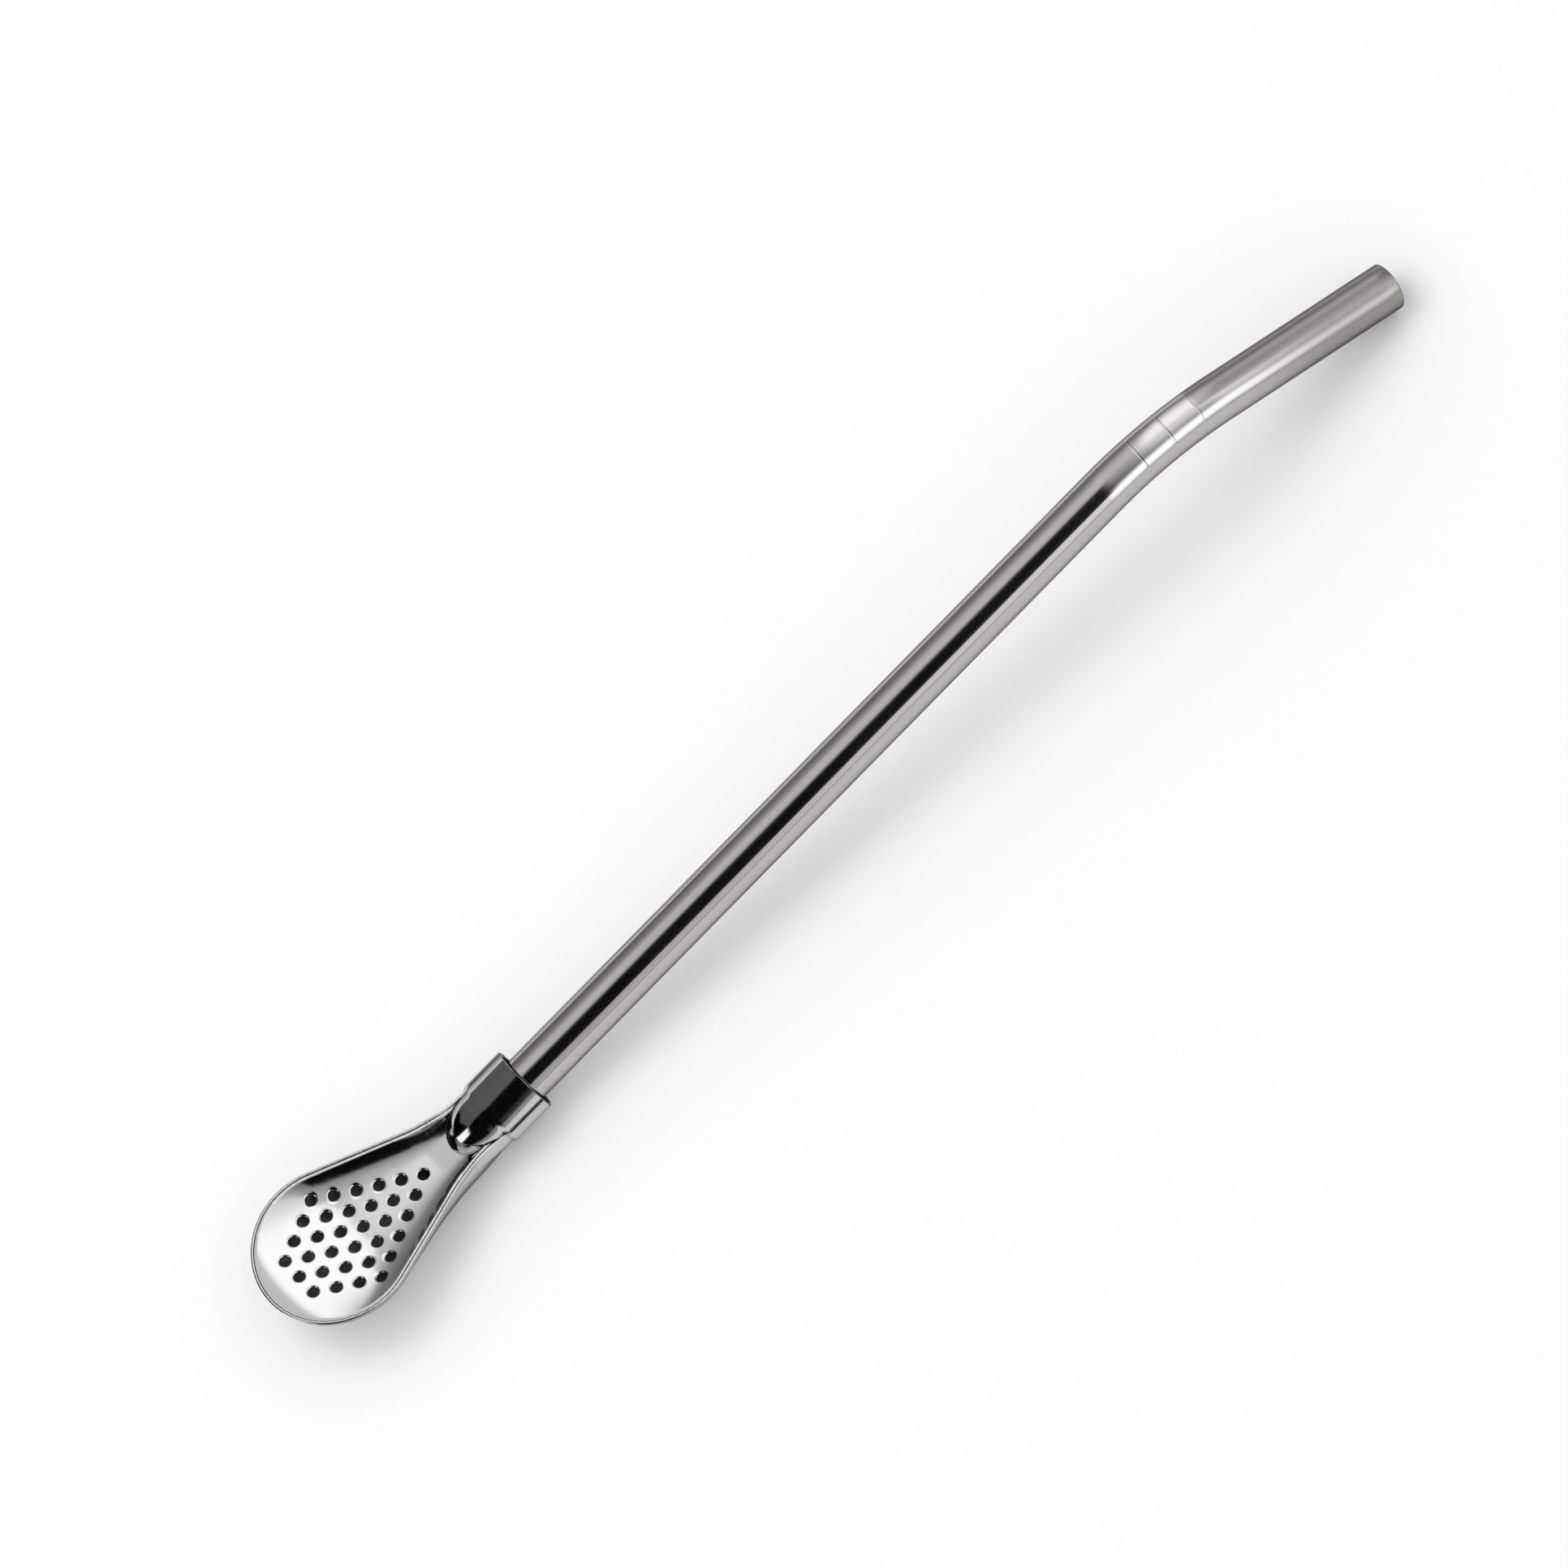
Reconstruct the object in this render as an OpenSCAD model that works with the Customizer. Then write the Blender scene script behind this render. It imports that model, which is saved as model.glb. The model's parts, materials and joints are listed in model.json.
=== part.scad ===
// Stainless spoon straw: a bent drinking tube that plugs into a perforated spoon-shaped strainer.
// Everything is drawn along the tube's straight axis first, with the socket mouth at x = 0, the spoon
// towards -X and the perforated face up. lie_down() then turns the whole straw so that it rests on its back.

/* [Tube] */
// Outside diameter of the tube
tube_d = 6; // [5:0.1:8]
// Wall of the tube
tube_wall = 0.5; // [0.3:0.05:0.8]
// Straight length of tube above the socket mouth
straight_l = 97.5; // [60:0.5:150]
// Radius of the bend, to the tube's axis
bend_r = 38; // [25:1:60]
// Angle of the bend
bend_angle = 27; // [15:1:40]
// Straight length of tube after the bend
mouth_l = 26; // [15:0.5:40]
// Length of tube inside the socket
seat_l = 9; // [7:0.1:9.3]

/* [Rolled rings] */
// Number of fine rings rolled round the bend
ring_count = 3; // [1:1:3]
// Length along the bend to the first ring
ring_start = 5.9; // [4:0.1:8]
// Length along the bend from ring to ring
ring_pitch = 4.2; // [3:0.1:5]
// Depth of each ring
ring_depth = 0.12; // [0.08:0.02:0.2]

/* [Spoon] */
// Length of the spoon, from the socket mouth to its tip
spoon_l = 39.5; // [36:0.1:50]
// Width of the bowl over its rim
bowl_w = 20; // [17:0.5:22]
// Thickness of the spoon's sheet
sheet = 0.35; // [0.25:0.05:0.5]
// Depth of the closed bowl, from rim to keel
bowl_depth = 5.6; // [4.5:0.1:7]
// Depth of the perforated dish below the rim
dish_depth = 1.6; // [1:0.1:2]
// Angle at which the rim rises from the socket to the bowl
rim_tilt = 10.8; // [6:0.1:13]
// How far the rim drops back at the tip
tip_drop = 0.5; // [0:0.1:1.5]
// Radius of the hollow curve from the neck to the bowl
flare_r = 21; // [15:1:30]

/* [Socket] */
// Length of the wide collar that holds the seal
collar_l = 5.5; // [4.5:0.1:6]
// Height of the back shell's lap above the tube's axis
lap_rise = 1.45; // [1.2:0.05:2]
// Gap between the tube and the neck behind the seal
neck_gap = 0.53; // [0.4:0.01:0.8]

/* [Seal] */
// Thickness of the seal ring
seal_t = 0.8; // [0.6:0.05:1]
// Depth of the seal ring's outer end below the socket mouth
seal_inset = 1.5; // [1:0.1:2]

/* [Perforations] */
// Diameter of each perforation
hole_d = 1.3; // [0.8:0.05:1.6]
// Distance from each perforation to its six neighbours
hole_pitch = 2.73; // [2.4:0.01:3]
// Distance from the spoon's tip to the row with one perforation
hole_tip = 23.1; // [21.5:0.1:24.5]
// Perforations in the longest row
hole_rows = 6; // [4:1:6]

/* [Fits] */
// Radial clearance between the tube and the seal ring
slide_clear = 0.03; // [0.02:0.01:0.08]
// Radial clearance between the seal ring and the collar
seal_clear = 0.03; // [0.02:0.01:0.06]
// Gap between the two shells along their seam
seam_gap = 0.07; // [0.06:0.01:0.1]

/* [Hidden] */
$fn = 64;
edge_fn = 24;
groove_fn = 16;
cut_over = 1;

tube_r = tube_d / 2;
bore_r = tube_r - tube_wall;
lip_r = tube_wall / 2;
rim_slope = tan(rim_tilt);

// Radii about the tube's axis: the collar and the neck, inside and outside of one sheet and of the lap
collar_in_r = tube_r + slide_clear + seal_t + seal_clear;
neck_in_r = tube_r + neck_gap;
step_l = 0.8;
bend_swell = 0.02;
run_in = 0.3;
neck_u = collar_l + step_l;
function sheet_r(u) = mix(collar_in_r, neck_in_r, ramp(u, collar_l, neck_u)) + sheet;
function lap_r(u) = sheet_r(u) + seam_gap + sheet;
bore_run = 1;
bore_end = neck_u + bore_run;
bore_skin = 0.06;

// Outline of the spoon in plan: a round tip, a straight flank and a hollow flare into the neck.
// u is the distance from the socket mouth towards the tip.
tip_r = bowl_w / 2;
bowl_u = spoon_l - tip_r;
neck_l = 1.3;
flare_u = neck_u + neck_l;
lap_y = sqrt(pow(lap_r(neck_u), 2) - pow(rim_z(neck_u), 2));
run = bowl_u - flare_u;
flare_share = 0.9;
flare_limit = flare_share * (run * run + lap_y * lap_y - tip_r * tip_r) / (2 * (tip_r - lap_y));
fillet_r = min(flare_r, flare_limit);
flank = atan2(run, lap_y + fillet_r) - acos((tip_r + fillet_r) / norm([run, lap_y + fillet_r]));
flank_start = flare_u + fillet_r * sin(flank);
flank_end = bowl_u - tip_r * sin(flank);
function rim_y(u) =
    u < neck_u ? sqrt(pow(lap_r(u), 2) - pow(rim_z(u), 2))
    : u < flare_u ? lap_y
    : u < flank_start ? lap_y + fillet_r - sqrt(pow(fillet_r, 2) - pow(u - flare_u, 2))
    : tip_r * cos(flank) - (flank_end - u) * tan(flank);
function rim_turn(u) = u < flare_u ? 0 : u < flank_start ? asin((u - flare_u) / fillet_r) : flank;

// Heights above the tube's axis: the rim, and the keel of the back shell
function rim_z(u) =
    lap_rise + rim_slope * max(0, u - collar_l) - tip_drop * pow(max(0, u - bowl_u) / tip_r, 2);
keel_lead = 3.4;
keel_u = flare_u + keel_lead;
keel_end = rim_z(bowl_u) - bowl_depth;
function keel_z(u) =
    let (t = max(0, min(1, (u - keel_u) / (bowl_u - keel_u))))
    -sheet_r(u) * (2 * t * t * t - 3 * t * t + 1) + keel_end * (3 * t * t - 2 * t * t * t)
    + rim_slope * (bowl_u - keel_u) * (t * t * t - t * t);

// Height of the back shell's widest line: on the tube's axis at the neck, and up at the rim from belly_u on
strip_h = 0.45;
belly_u = 22;
belly_form = 0.7;
function belly_z(u) = (rim_z(u) - strip_h) * pow(ramp(u, neck_u, belly_u), belly_form);

// The nose is the rounded end of the half round that covers the tube. Its crown stands a little higher than a
// true circle and falls evenly from the socket mouth, so that the top narrows without a step.
nose_lead = 0.7;
nose_u = neck_u + nose_lead;
nose_l = 5;
nose_blend = 0.3;
crown_rise = 0.25;
function crown(u) =
    (collar_in_r + crown_rise * (1 - min(u, nose_u + nose_l) / collar_l) + sheet) / sheet_r(u);

// The dish of the filter face: a narrow ledge at its edge, a flat floor, and no depth left at the tip
edge_drop = 0.05;
ledge_w = 0.3;
neck_lean = 0.1;
lean_hold = 1;
lean_end = 4;
dish_form = 4;
foot_angle = 2;
face_turn_l = 2.2;
dish_from = collar_l - 3;
dish_full = flare_u + 7;
dish_fade = bowl_u - 3.4;
dish_end = spoon_l + 0.5;
function dish_now(u) = dish_depth * ramp(u, dish_from, dish_full) * (1 - ramp(u, dish_fade, dish_end));

function mix(a, b, t) = a * (1 - t) + b * t;
function ramp(u, from, to) = let (t = max(0, min(1, (u - from) / (to - from)))) t * t * (3 - 2 * t);
function blend_max(a, b, soft) = max(a, b) + pow(max(0, soft - abs(a - b)), 2) / (4 * soft);
function unit(v) = v / norm(v);
function turned(f, over) = over ? [f[0], f[2], f[1]] : f;

// Stations round the rim, from the socket mouth to the tip: place on the rim, and where the section
// square to the rim meets the middle line
neck_steps = [0, collar_l, collar_l + step_l / 2, neck_u];
dome_step = 0.7;
dome_count = 8;
flank_count = 9;
arc_count = 12;
dome_steps = [for (k = [1:dome_count]) neck_u + k * dome_step];
dome_u = neck_u + dome_count * dome_step;
flank_steps = [for (k = [1:flank_count]) mix(dome_u, flank_end, k / (flank_count + 1))];
right = concat(
    [for (u = concat(neck_steps, dome_steps, flank_steps))
        [u, rim_y(u), u + rim_y(u) * tan(rim_turn(u))]],
    [for (k = [0:arc_count])
        let (a = (90 + flank) * (1 - k / arc_count)) [bowl_u + tip_r * cos(a), tip_r * sin(a), bowl_u]]);
last = len(right) - 1;
pole = last - arc_count;
function mirrored(p) = [p[0], -p[1], p[2]];
function station(i) = i <= last ? right[i] : mirrored(right[2 * last - i]);

// Outside of the back shell, from the rim (j = 0) to the keel: round about the tube at the socket, and
// further on an upright strip at the rim with a bowl below it. The round part's angles are shares of the
// rim's angle above the tube's axis, and degrees below it.
back_angles = concat([1, 0.66, 0.33, -3, -8], [for (a = [-16:-7.4:-90]) a]);
lap_end = -5;
top_limit = 0.9;
keel_fullness = 1;
bowl_fullness = 1.3;
back_turn_l = 5;
back_last = len(back_angles) - 1;
function back_angle(u, j) =
    back_angles[j] > 0 ? back_angles[j] * asin(min(1, rim_z(u) / lap_r(u))) : back_angles[j];
function back_point(i, j) =
    let (
        at = station(i),
        side = sign(at[1] + 1e-9),
        angle = back_angle(at[0], j),
        r = back_angles[j] > lap_end ? lap_r(at[0]) : sheet_r(at[0]),
        round_point = [-at[0], side * r * cos(angle), r * sin(angle)],
        half_h = belly_z(at[2]) - keel_z(at[2]),
        rise = rim_z(at[2]) - strip_h - belly_z(at[2]),
        top_turn = asin(min(top_limit, rise / half_h)),
        turn = mix(top_turn, -90, max(0, j - 1) / (back_last - 1)),
        share = cos(turn) / cos(top_turn),
        u = mix(at[2], at[0], share),
        fullness = mix(keel_fullness, bowl_fullness, ramp(at[2], keel_u, bowl_u)),
        lift = turn > 0 ? sin(turn) : -pow(-sin(turn), fullness),
        drop = j > 0 ? strip_h + rise - half_h * lift : 0,
        bowl_point = [-u, at[1] * share, rim_z(u) - drop])
    mix(round_point, bowl_point, ramp(at[0], neck_u, neck_u + back_turn_l));

// Top of the filter face, from its edge (j = 0) to the middle line: the half round over the tube, its
// nose, and the dish
face_last = 16;
function nose_top(u, y) =
    let (
        q = max(0, u - nose_u) / nose_l,
        left = pow(sheet_r(u), 2) * (1 - q * q) - y * y)
    left > 0 ? crown(u) * sqrt(left) : -sheet_r(u);
function face_point(i, j) =
    let (
        at = station(i),
        out = norm([at[0] - at[2], at[1]]),
        lean = neck_lean * (1 - ramp(at[0], flare_u + lean_hold, flare_u + lean_end)),
        edge = (out - sheet - seam_gap - lean) / out,
        dish_edge = edge - ledge_w / out,
        share = j == 0 ? edge : dish_edge * (face_last - j) / (face_last - 1),
        flatness = ramp(at[0], collar_l, collar_l + face_turn_l),
        u = mix(at[0], mix(at[2], at[0], share), flatness),
        round_y = sign(at[1] + 1e-9) * sheet_r(at[0]) * cos(mix(foot_angle, 90, j / face_last)),
        y = mix(round_y, at[1] * share, flatness),
        round_z = crown(u) * sqrt(max(0, pow(sheet_r(u), 2) - y * y)),
        floor_share = min(1, norm([u - at[2], y]) / out / dish_edge),
        dish_z = rim_z(u) - edge_drop - dish_now(u) * (1 - pow(floor_share, dish_form)),
        face_z = blend_max(dish_z, nose_top(u, y), nose_blend))
    [-u, y, mix(round_z, face_z, flatness)];

// A thin closed shell. The grid of points runs round the rim (i) and from the rim to the middle line (j),
// where both halves meet. The other side of the sheet lies thick[i][j] away along the upward normal.
function mid_station(i) = min(i, 2 * last - i, pole);
function number(i, j, m) = j == m ? (2 * last + 1) * m + mid_station(i) : i * m + j;
module shell(grid, thick, over) {
    m = len(grid[0]) - 1;
    count = (2 * last + 1) * m + pole + 1;
    other = [count, count, count];
    points = concat(
        [for (i = [0:2 * last], j = [0:m - 1]) grid[i][j]],
        [for (k = [0:pole]) grid[k][m]]);
    normals = concat(
        [for (i = [0:2 * last], j = [0:m - 1])
            let (
                along = grid[min(i + 1, 2 * last)][j] - grid[max(i - 1, 0)][j],
                across = grid[i][j + 1] - grid[i][max(j - 1, 0)])
            unit(cross(along, across))],
        [for (k = [0:pole])
            let (along = grid[min(k + 1, pole)][m] - grid[max(k - 1, 0)][m])
            unit([along[2], 0, -along[0]])]);
    gaps = concat(
        [for (i = [0:2 * last], j = [0:m - 1]) thick[i][j]],
        [for (k = [0:pole]) thick[k][m]]);
    other_side = [for (k = [0:count - 1]) points[k] + normals[k] * gaps[k]];
    skin = [for (i = [0:2 * last - 1], j = [0:m - 1])
        let (
            a = number(i, j, m),
            b = number(i + 1, j, m),
            c = number(i + 1, j + 1, m),
            d = number(i, j + 1, m))
        each c == d ? [[a, b, c]] : [[a, b, c], [a, c, d]]];
    rim = [for (i = [0:2 * last - 1])
        let (a = number(i, 0, m), b = number(i + 1, 0, m))
        each [[a, a + count, b + count], [a, b + count, b]]];
    ends = [for (i = [0, 2 * last], j = [0:m - 1])
        let (a = number(i, j, m), b = number(i, j + 1, m))
        each [turned([b, b + count, a + count], i > 0), turned([b, a + count, a], i > 0)]];
    faces = concat(skin, [for (f = skin) turned(f, true) + other], rim, ends);
    polyhedron(concat(points, other_side), [for (f = faces) turned(f, over)]);
}

// The true bores of the socket: the collar that holds the seal, and the neck behind it
module socket_bore() {
    translate([-collar_l, 0, 0]) rotate([0, 90, 0]) cylinder(r = collar_in_r, h = collar_l + cut_over);
    translate([-bore_end, 0, 0]) rotate([0, 90, 0]) cylinder(r = neck_in_r, h = bore_end);
}

// Rows of perforations square to the rim's plane: one, two, three and so on to the longest row, then
// fewer again as the bowl closes
hole_start = spoon_l - hole_tip;
closing_rows = 3;
module perforations() {
    row_pitch = hole_pitch * sin(60);
    for (row = [0:hole_rows + closing_rows - 1]) {
        in_row = row < hole_rows ? row + 1 : 2 * hole_rows - 1 - row;
        u = hole_start + row * row_pitch * cos(rim_tilt);
        for (k = [0:in_row - 1])
            translate([-u, (k - (in_row - 1) / 2) * hole_pitch, rim_z(u) - edge_drop - dish_now(u)])
                rotate([0, rim_tilt, 0])
                    cylinder(d = hole_d, h = 2 * dish_depth, center = true, $fn = edge_fn);
    }
}

module place_on_bend(angle) {
    translate([straight_l + bend_r * sin(angle), 0, -bend_r * (1 - cos(angle))])
        rotate([0, 90 + angle, 0])
            children();
}

// One solid rod along the tube's whole route. The bend is a hair wider, so the straight lengths can run
// a little way into it.
module rod(r, extra) {
    translate([-seat_l + lip_r - extra, 0, 0])
        rotate([0, 90, 0])
            cylinder(r = r, h = seat_l - lip_r + straight_l + extra + run_in);
    translate([straight_l, 0, -bend_r])
        rotate([90, 0, 0]) rotate([0, 0, 90 - bend_angle])
            rotate_extrude(angle = bend_angle) translate([bend_r, 0]) circle(r = r + bend_swell);
    place_on_bend(bend_angle)
        translate([0, 0, -run_in])
            cylinder(r = r, h = mouth_l - lip_r + extra + run_in);
}

module round_edge() {
    rotate_extrude() translate([tube_r - lip_r, 0]) circle(r = lip_r, $fn = edge_fn);
}

module straw_tube() {
    color("silver")
    difference() {
        union() {
            difference() {
                rod(tube_r, 0);
                rod(bore_r, cut_over);
            }
            translate([-seat_l + lip_r, 0, 0]) rotate([0, 90, 0]) round_edge();
            place_on_bend(bend_angle) translate([0, 0, mouth_l - lip_r]) round_edge();
        }
        for (k = [0:ring_count - 1])
            place_on_bend((ring_start + k * ring_pitch) / bend_r * 180 / PI)
                rotate_extrude() translate([tube_r, 0]) circle(r = ring_depth, $fn = groove_fn);
    }
}

// Silicone ring with round ends, seated against the step where the collar narrows
module seal_ring() {
    seal_l = collar_l - seal_inset - seal_clear;
    color("gainsboro")
    translate([-collar_l + seal_clear, 0, 0])
        rotate([0, 90, 0])
            rotate_extrude() {
                translate([tube_r + slide_clear, seal_t / 2]) square([seal_t, seal_l - seal_t]);
                for (z = [seal_t / 2, seal_l - seal_t / 2])
                    translate([tube_r + slide_clear + seal_t / 2, z]) circle(d = seal_t, $fn = edge_fn);
            }
}

module filter_face() {
    grid = [for (i = [0:2 * last]) [for (j = [0:face_last]) face_point(i, j)]];
    thick = [for (p = grid) [for (q = p) -sheet - bore_skin * (1 - ramp(-q[0], neck_u, bore_end))]];
    color("lightgrey")
    difference() {
        shell(grid, thick, true);
        socket_bore();
        perforations();
    }
}

module bowl_back() {
    grid = [for (i = [0:2 * last]) [for (j = [0:back_last]) back_point(i, j)]];
    thick = [for (p = grid) [for (j = [0:back_last])
        sheet + (back_angles[j] > lap_end ? 0 : bore_skin * (1 - ramp(-p[j][0], neck_u, bore_end)))]];
    color("darkgrey")
    difference() {
        shell(grid, thick, false);
        socket_bore();
    }
}

// Lying on its back, the straw rests on the keel and on the lower edge of its mouth end
mouth_x = straight_l + bend_r * sin(bend_angle) + (mouth_l - lip_r) * cos(bend_angle);
mouth_z = -bend_r * (1 - cos(bend_angle)) - (mouth_l - lip_r) * sin(bend_angle);
edge_x = mouth_x - (tube_r - lip_r) * sin(bend_angle);
edge_z = mouth_z - (tube_r - lip_r) * cos(bend_angle);
keel_line = [for (k = [0:pole]) back_point(k, back_last)];
keel_drops = [for (p = keel_line)
    let (far = norm([edge_x - p[0], edge_z - p[2]]))
    atan2(p[2] - edge_z, edge_x - p[0]) + asin(lip_r / far)];
lie_angle = min(keel_drops);
function lying(x, z) = [x * cos(lie_angle) - z * sin(lie_angle), x * sin(lie_angle) + z * cos(lie_angle)];
base_z = lying(edge_x, edge_z)[1] - lip_r;
upper_x = mouth_x + (tube_r - lip_r) * sin(bend_angle);
upper_z = mouth_z + (tube_r - lip_r) * cos(bend_angle);
tip_x = lying(-spoon_l, rim_z(spoon_l))[0];
middle_x = (lying(upper_x, upper_z)[0] + lip_r + tip_x) / 2;

module lie_down() {
    translate([-middle_x, 0, -base_z]) rotate([0, -lie_angle, 0]) children();
}

lie_down() straw_tube();
lie_down() seal_ring();
lie_down() filter_face();
lie_down() bowl_back();
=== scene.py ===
"""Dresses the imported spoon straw: a bent steel drinking tube in a spoon-shaped, perforated strainer.

Every shape is drawn in millimetres along the tube's straight axis, with the socket mouth at x = 0, the spoon
towards -X and the perforated face up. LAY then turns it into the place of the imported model, in metres.
"""

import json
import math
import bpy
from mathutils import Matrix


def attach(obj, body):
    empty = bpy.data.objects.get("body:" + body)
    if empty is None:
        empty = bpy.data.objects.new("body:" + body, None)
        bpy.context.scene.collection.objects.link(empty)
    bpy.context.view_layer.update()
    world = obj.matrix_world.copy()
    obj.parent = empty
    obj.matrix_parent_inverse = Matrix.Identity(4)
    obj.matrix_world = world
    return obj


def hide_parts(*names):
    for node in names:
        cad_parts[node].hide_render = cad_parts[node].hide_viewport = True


bl_info = {
    "name": "Spoon Straw",
    "version": (1, 0, 0),
    "blender": (4, 5, 0),
    "location": "3D View > Sidebar > Straw",
    "description": "Builds the dressed pieces of a spoon straw and a plain studio round them",
    "category": "Object",
}

from types import SimpleNamespace

import bmesh
import bpy
import numpy as np
from bpy.props import FloatProperty, FloatVectorProperty, IntProperty, PointerProperty
from mathutils import Matrix, Vector, noise
from mathutils.geometry import delaunay_2d_cdt

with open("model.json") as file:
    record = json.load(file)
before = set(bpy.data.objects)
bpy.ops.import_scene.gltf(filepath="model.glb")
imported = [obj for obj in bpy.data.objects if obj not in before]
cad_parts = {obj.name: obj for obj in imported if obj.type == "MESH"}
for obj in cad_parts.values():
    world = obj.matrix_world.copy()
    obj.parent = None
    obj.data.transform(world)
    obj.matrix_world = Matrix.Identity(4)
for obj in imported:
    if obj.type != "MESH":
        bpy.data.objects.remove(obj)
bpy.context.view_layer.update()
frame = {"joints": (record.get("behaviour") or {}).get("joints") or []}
MM = 0.001

# The turning joint gives the tube's axis and the socket mouth's place as the straw lies
TURN = next(joint for joint in frame["joints"] if joint["name"] == "head_turn")
AXIS = Vector(TURN["axis"]).normalized()
MOUTH = Vector(TURN["pos_m"])
SIDE = Vector((0, 1, 0))
FACE_UP = AXIS.cross(SIDE)
TURNED = Matrix((AXIS, SIDE, FACE_UP)).transposed()
LAY = Matrix.Translation(MOUTH) @ TURNED.to_4x4() @ Matrix.Scale(MM, 4)
MIRROR = np.array([1, -1, 1])
SHARP_ANGLE = math.radians(50)

# The tube's mesh: points along its parts, over each rolled ring, over each lip and round it. Fine points
# reach out from a ring by RING_REACH half widths, and the others stay RING_CLEAR half widths off it. What is
# less than OUTSIDE_TOUCH millimetres inside the diameter counts as the outside.
STRAIGHT_POINTS = 44
BEND_POINTS = 60
MOUTH_POINTS = 16
RING_POINTS = 25
LIP_POINTS = 7
TUBE_AROUND = 96
RING_REACH = 1.5
RING_CLEAR = 1.6
OUTSIDE_TOUCH = 0.01

# The filter face's mesh, in millimetres. A grid covers it from the socket to GRID_END, with its first columns
# at set distances from the edge. Past it come loops along the dish's edge, rings round each hole and a
# lattice. A rolled edge has ROLL_POINTS steps over its round. Points closer than a TOUCH become one.
FACE_STEP = 0.16
GRID_END = 12.4
GRID_COLUMNS = 44
GRID_INSETS = (0, 0.05, 0.12, *np.arange(0.19, 1.5, 0.07))
DISH_INSETS = (0, 0.05, 0.12, 0.2, 0.3, 0.4, 0.52, 0.7, 0.95)
HOLE_POINTS = 24
ROLL_POINTS = 4
ROLL_TOUCH = 0.001
LOOP_TOUCH = 0.05
HOLE_COLLARS = (0, 0.12, 0.27)
HOLE_GAP = 0.13
LATTICE_STEP = 0.3
LATTICE_GAP = 0.15
SLOPE_STEP = 0.3
PLAN_TOUCH = 1e-5

# The back shell's mesh: millimetres from row to row, and columns from the rim to the keel
BACK_STEP = 0.2
BACK_COLUMNS = 58

# A sheet's mesh, in millimetres: steps over its rounded edge, how far that stands out, and what is one point
EDGE_STEPS = 4
FACE_BULGE = 0.06
BACK_BULGE = 0.08
SHEET_TOUCH = 1e-4

# The hammered seam, in millimetres: it starts past the neck, runs inside the rim and dies away below it. Its
# fine and broad waves each have a length and a height.
SEAM_LEAD = 1
SEAM_FADE_L = 5
SEAM_INSET = 0.25
SEAM_HALF_W = 0.48
SEAM_H = 0.7
SEAM_FULLNESS = 1.6
FINE_WAVE_L = 0.34
FINE_WAVE_H = 0.014
BROAD_WAVE_L = 1.3
BROAD_WAVE_H = 0.012
FACE_SEED = 3
BACK_SEED = 11
BROAD_SEED = 7

# The seal ring: its ribs, the depth of the grooves in millimetres, the shares of its length and thickness
# that its rounded ends take, and points along its outside, along its bore and round it
SEAL_RIBS = 3
SEAL_GROOVE = 0.07
SEAL_END_L = 0.1
SEAL_END_T = 0.4
SEAL_OUTSIDE_POINTS = 49
SEAL_BORE_POINTS = 25
SEAL_AROUND = 72

# The studio, in metres, with the width of the camera's sensor in millimetres
FLOOR_HALF = 3.0
LAMP_SIZE = 0.7
LAMP_PLACE = (-0.2, 0.35, 0.9)
SENSOR_MM = 36


def length(name, text, value):
    """A length property, kept in metres and given here in millimetres."""
    return FloatProperty(name=name, description=text, default=value * MM, unit="LENGTH", precision=5)


def angle(name, text, value):
    return FloatProperty(name=name, description=text, default=math.radians(value), unit="ROTATION")


def share(name, text, value):
    return FloatProperty(name=name, description=text, default=value, min=0, max=1, subtype="FACTOR")


def colour(name, text, value):
    return FloatVectorProperty(
        name=name, description=text, default=value, size=3, min=0, max=1, subtype="COLOR"
    )


class StrawTubeSizes(bpy.types.PropertyGroup):
    tube_d: length("Diameter", "Outside diameter of the tube", 6)
    tube_wall: length("Wall", "Wall of the tube", 0.5)
    straight_l: length("Straight length", "Straight length above the socket mouth", 97.5)
    bend_r: length("Bend radius", "Radius of the bend, to the tube's axis", 38)
    bend_angle: angle("Bend angle", "Angle of the bend", 27)
    mouth_l: length("Mouth length", "Straight length after the bend", 26)
    seat_l: length("Seat length", "Length of tube inside the socket", 9)
    ring_count: IntProperty(name="Rings", description="Number of fine rolled rings", default=3, min=0)
    ring_start: length("First ring", "Length along the bend to the first ring", 5.9)
    ring_pitch: length("Ring pitch", "Length along the bend from ring to ring", 4.2)
    ring_depth: length("Ring depth", "Depth of each rolled ring", 0.03)
    ring_width: length("Ring width", "Half the width of each rolled ring", 0.12)


class StrawSpoonSizes(bpy.types.PropertyGroup):
    spoon_l: length("Spoon length", "From the socket mouth to the spoon's tip", 39.5)
    bowl_w: length("Bowl width", "Width of the bowl over its rim", 20)
    sheet: length("Sheet", "Thickness of the spoon's sheet", 0.35)
    bowl_depth: length("Bowl depth", "Depth of the closed bowl, from rim to keel", 5.6)
    dish_depth: length("Dish depth", "Depth of the perforated dish below the rim", 1.6)
    rim_tilt: angle("Rim tilt", "Angle at which the rim rises from the socket", 10.8)
    tip_drop: length("Tip drop", "How far the rim drops back at the tip", 0.5)
    flare_r: length("Flare radius", "Radius of the hollow curve from neck to bowl", 21)
    collar_l: length("Collar length", "Length of the collar that holds the seal", 5.5)
    lap_rise: length("Lap height", "Height of the back shell's lap above the tube's axis", 1.45)
    neck_gap: length("Neck gap", "Gap between the tube and the neck", 0.53)
    seal_t: length("Seal thickness", "Thickness of the seal ring", 0.8)
    seal_inset: length("Seal inset", "Depth of the seal ring's outer end in the socket", 1.5)
    running_gap: length("Running gap", "Clearance on each side of the seal ring", 0.03)
    seam_gap: length("Seam gap", "Gap between the two shells along their seam", 0.07)


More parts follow.
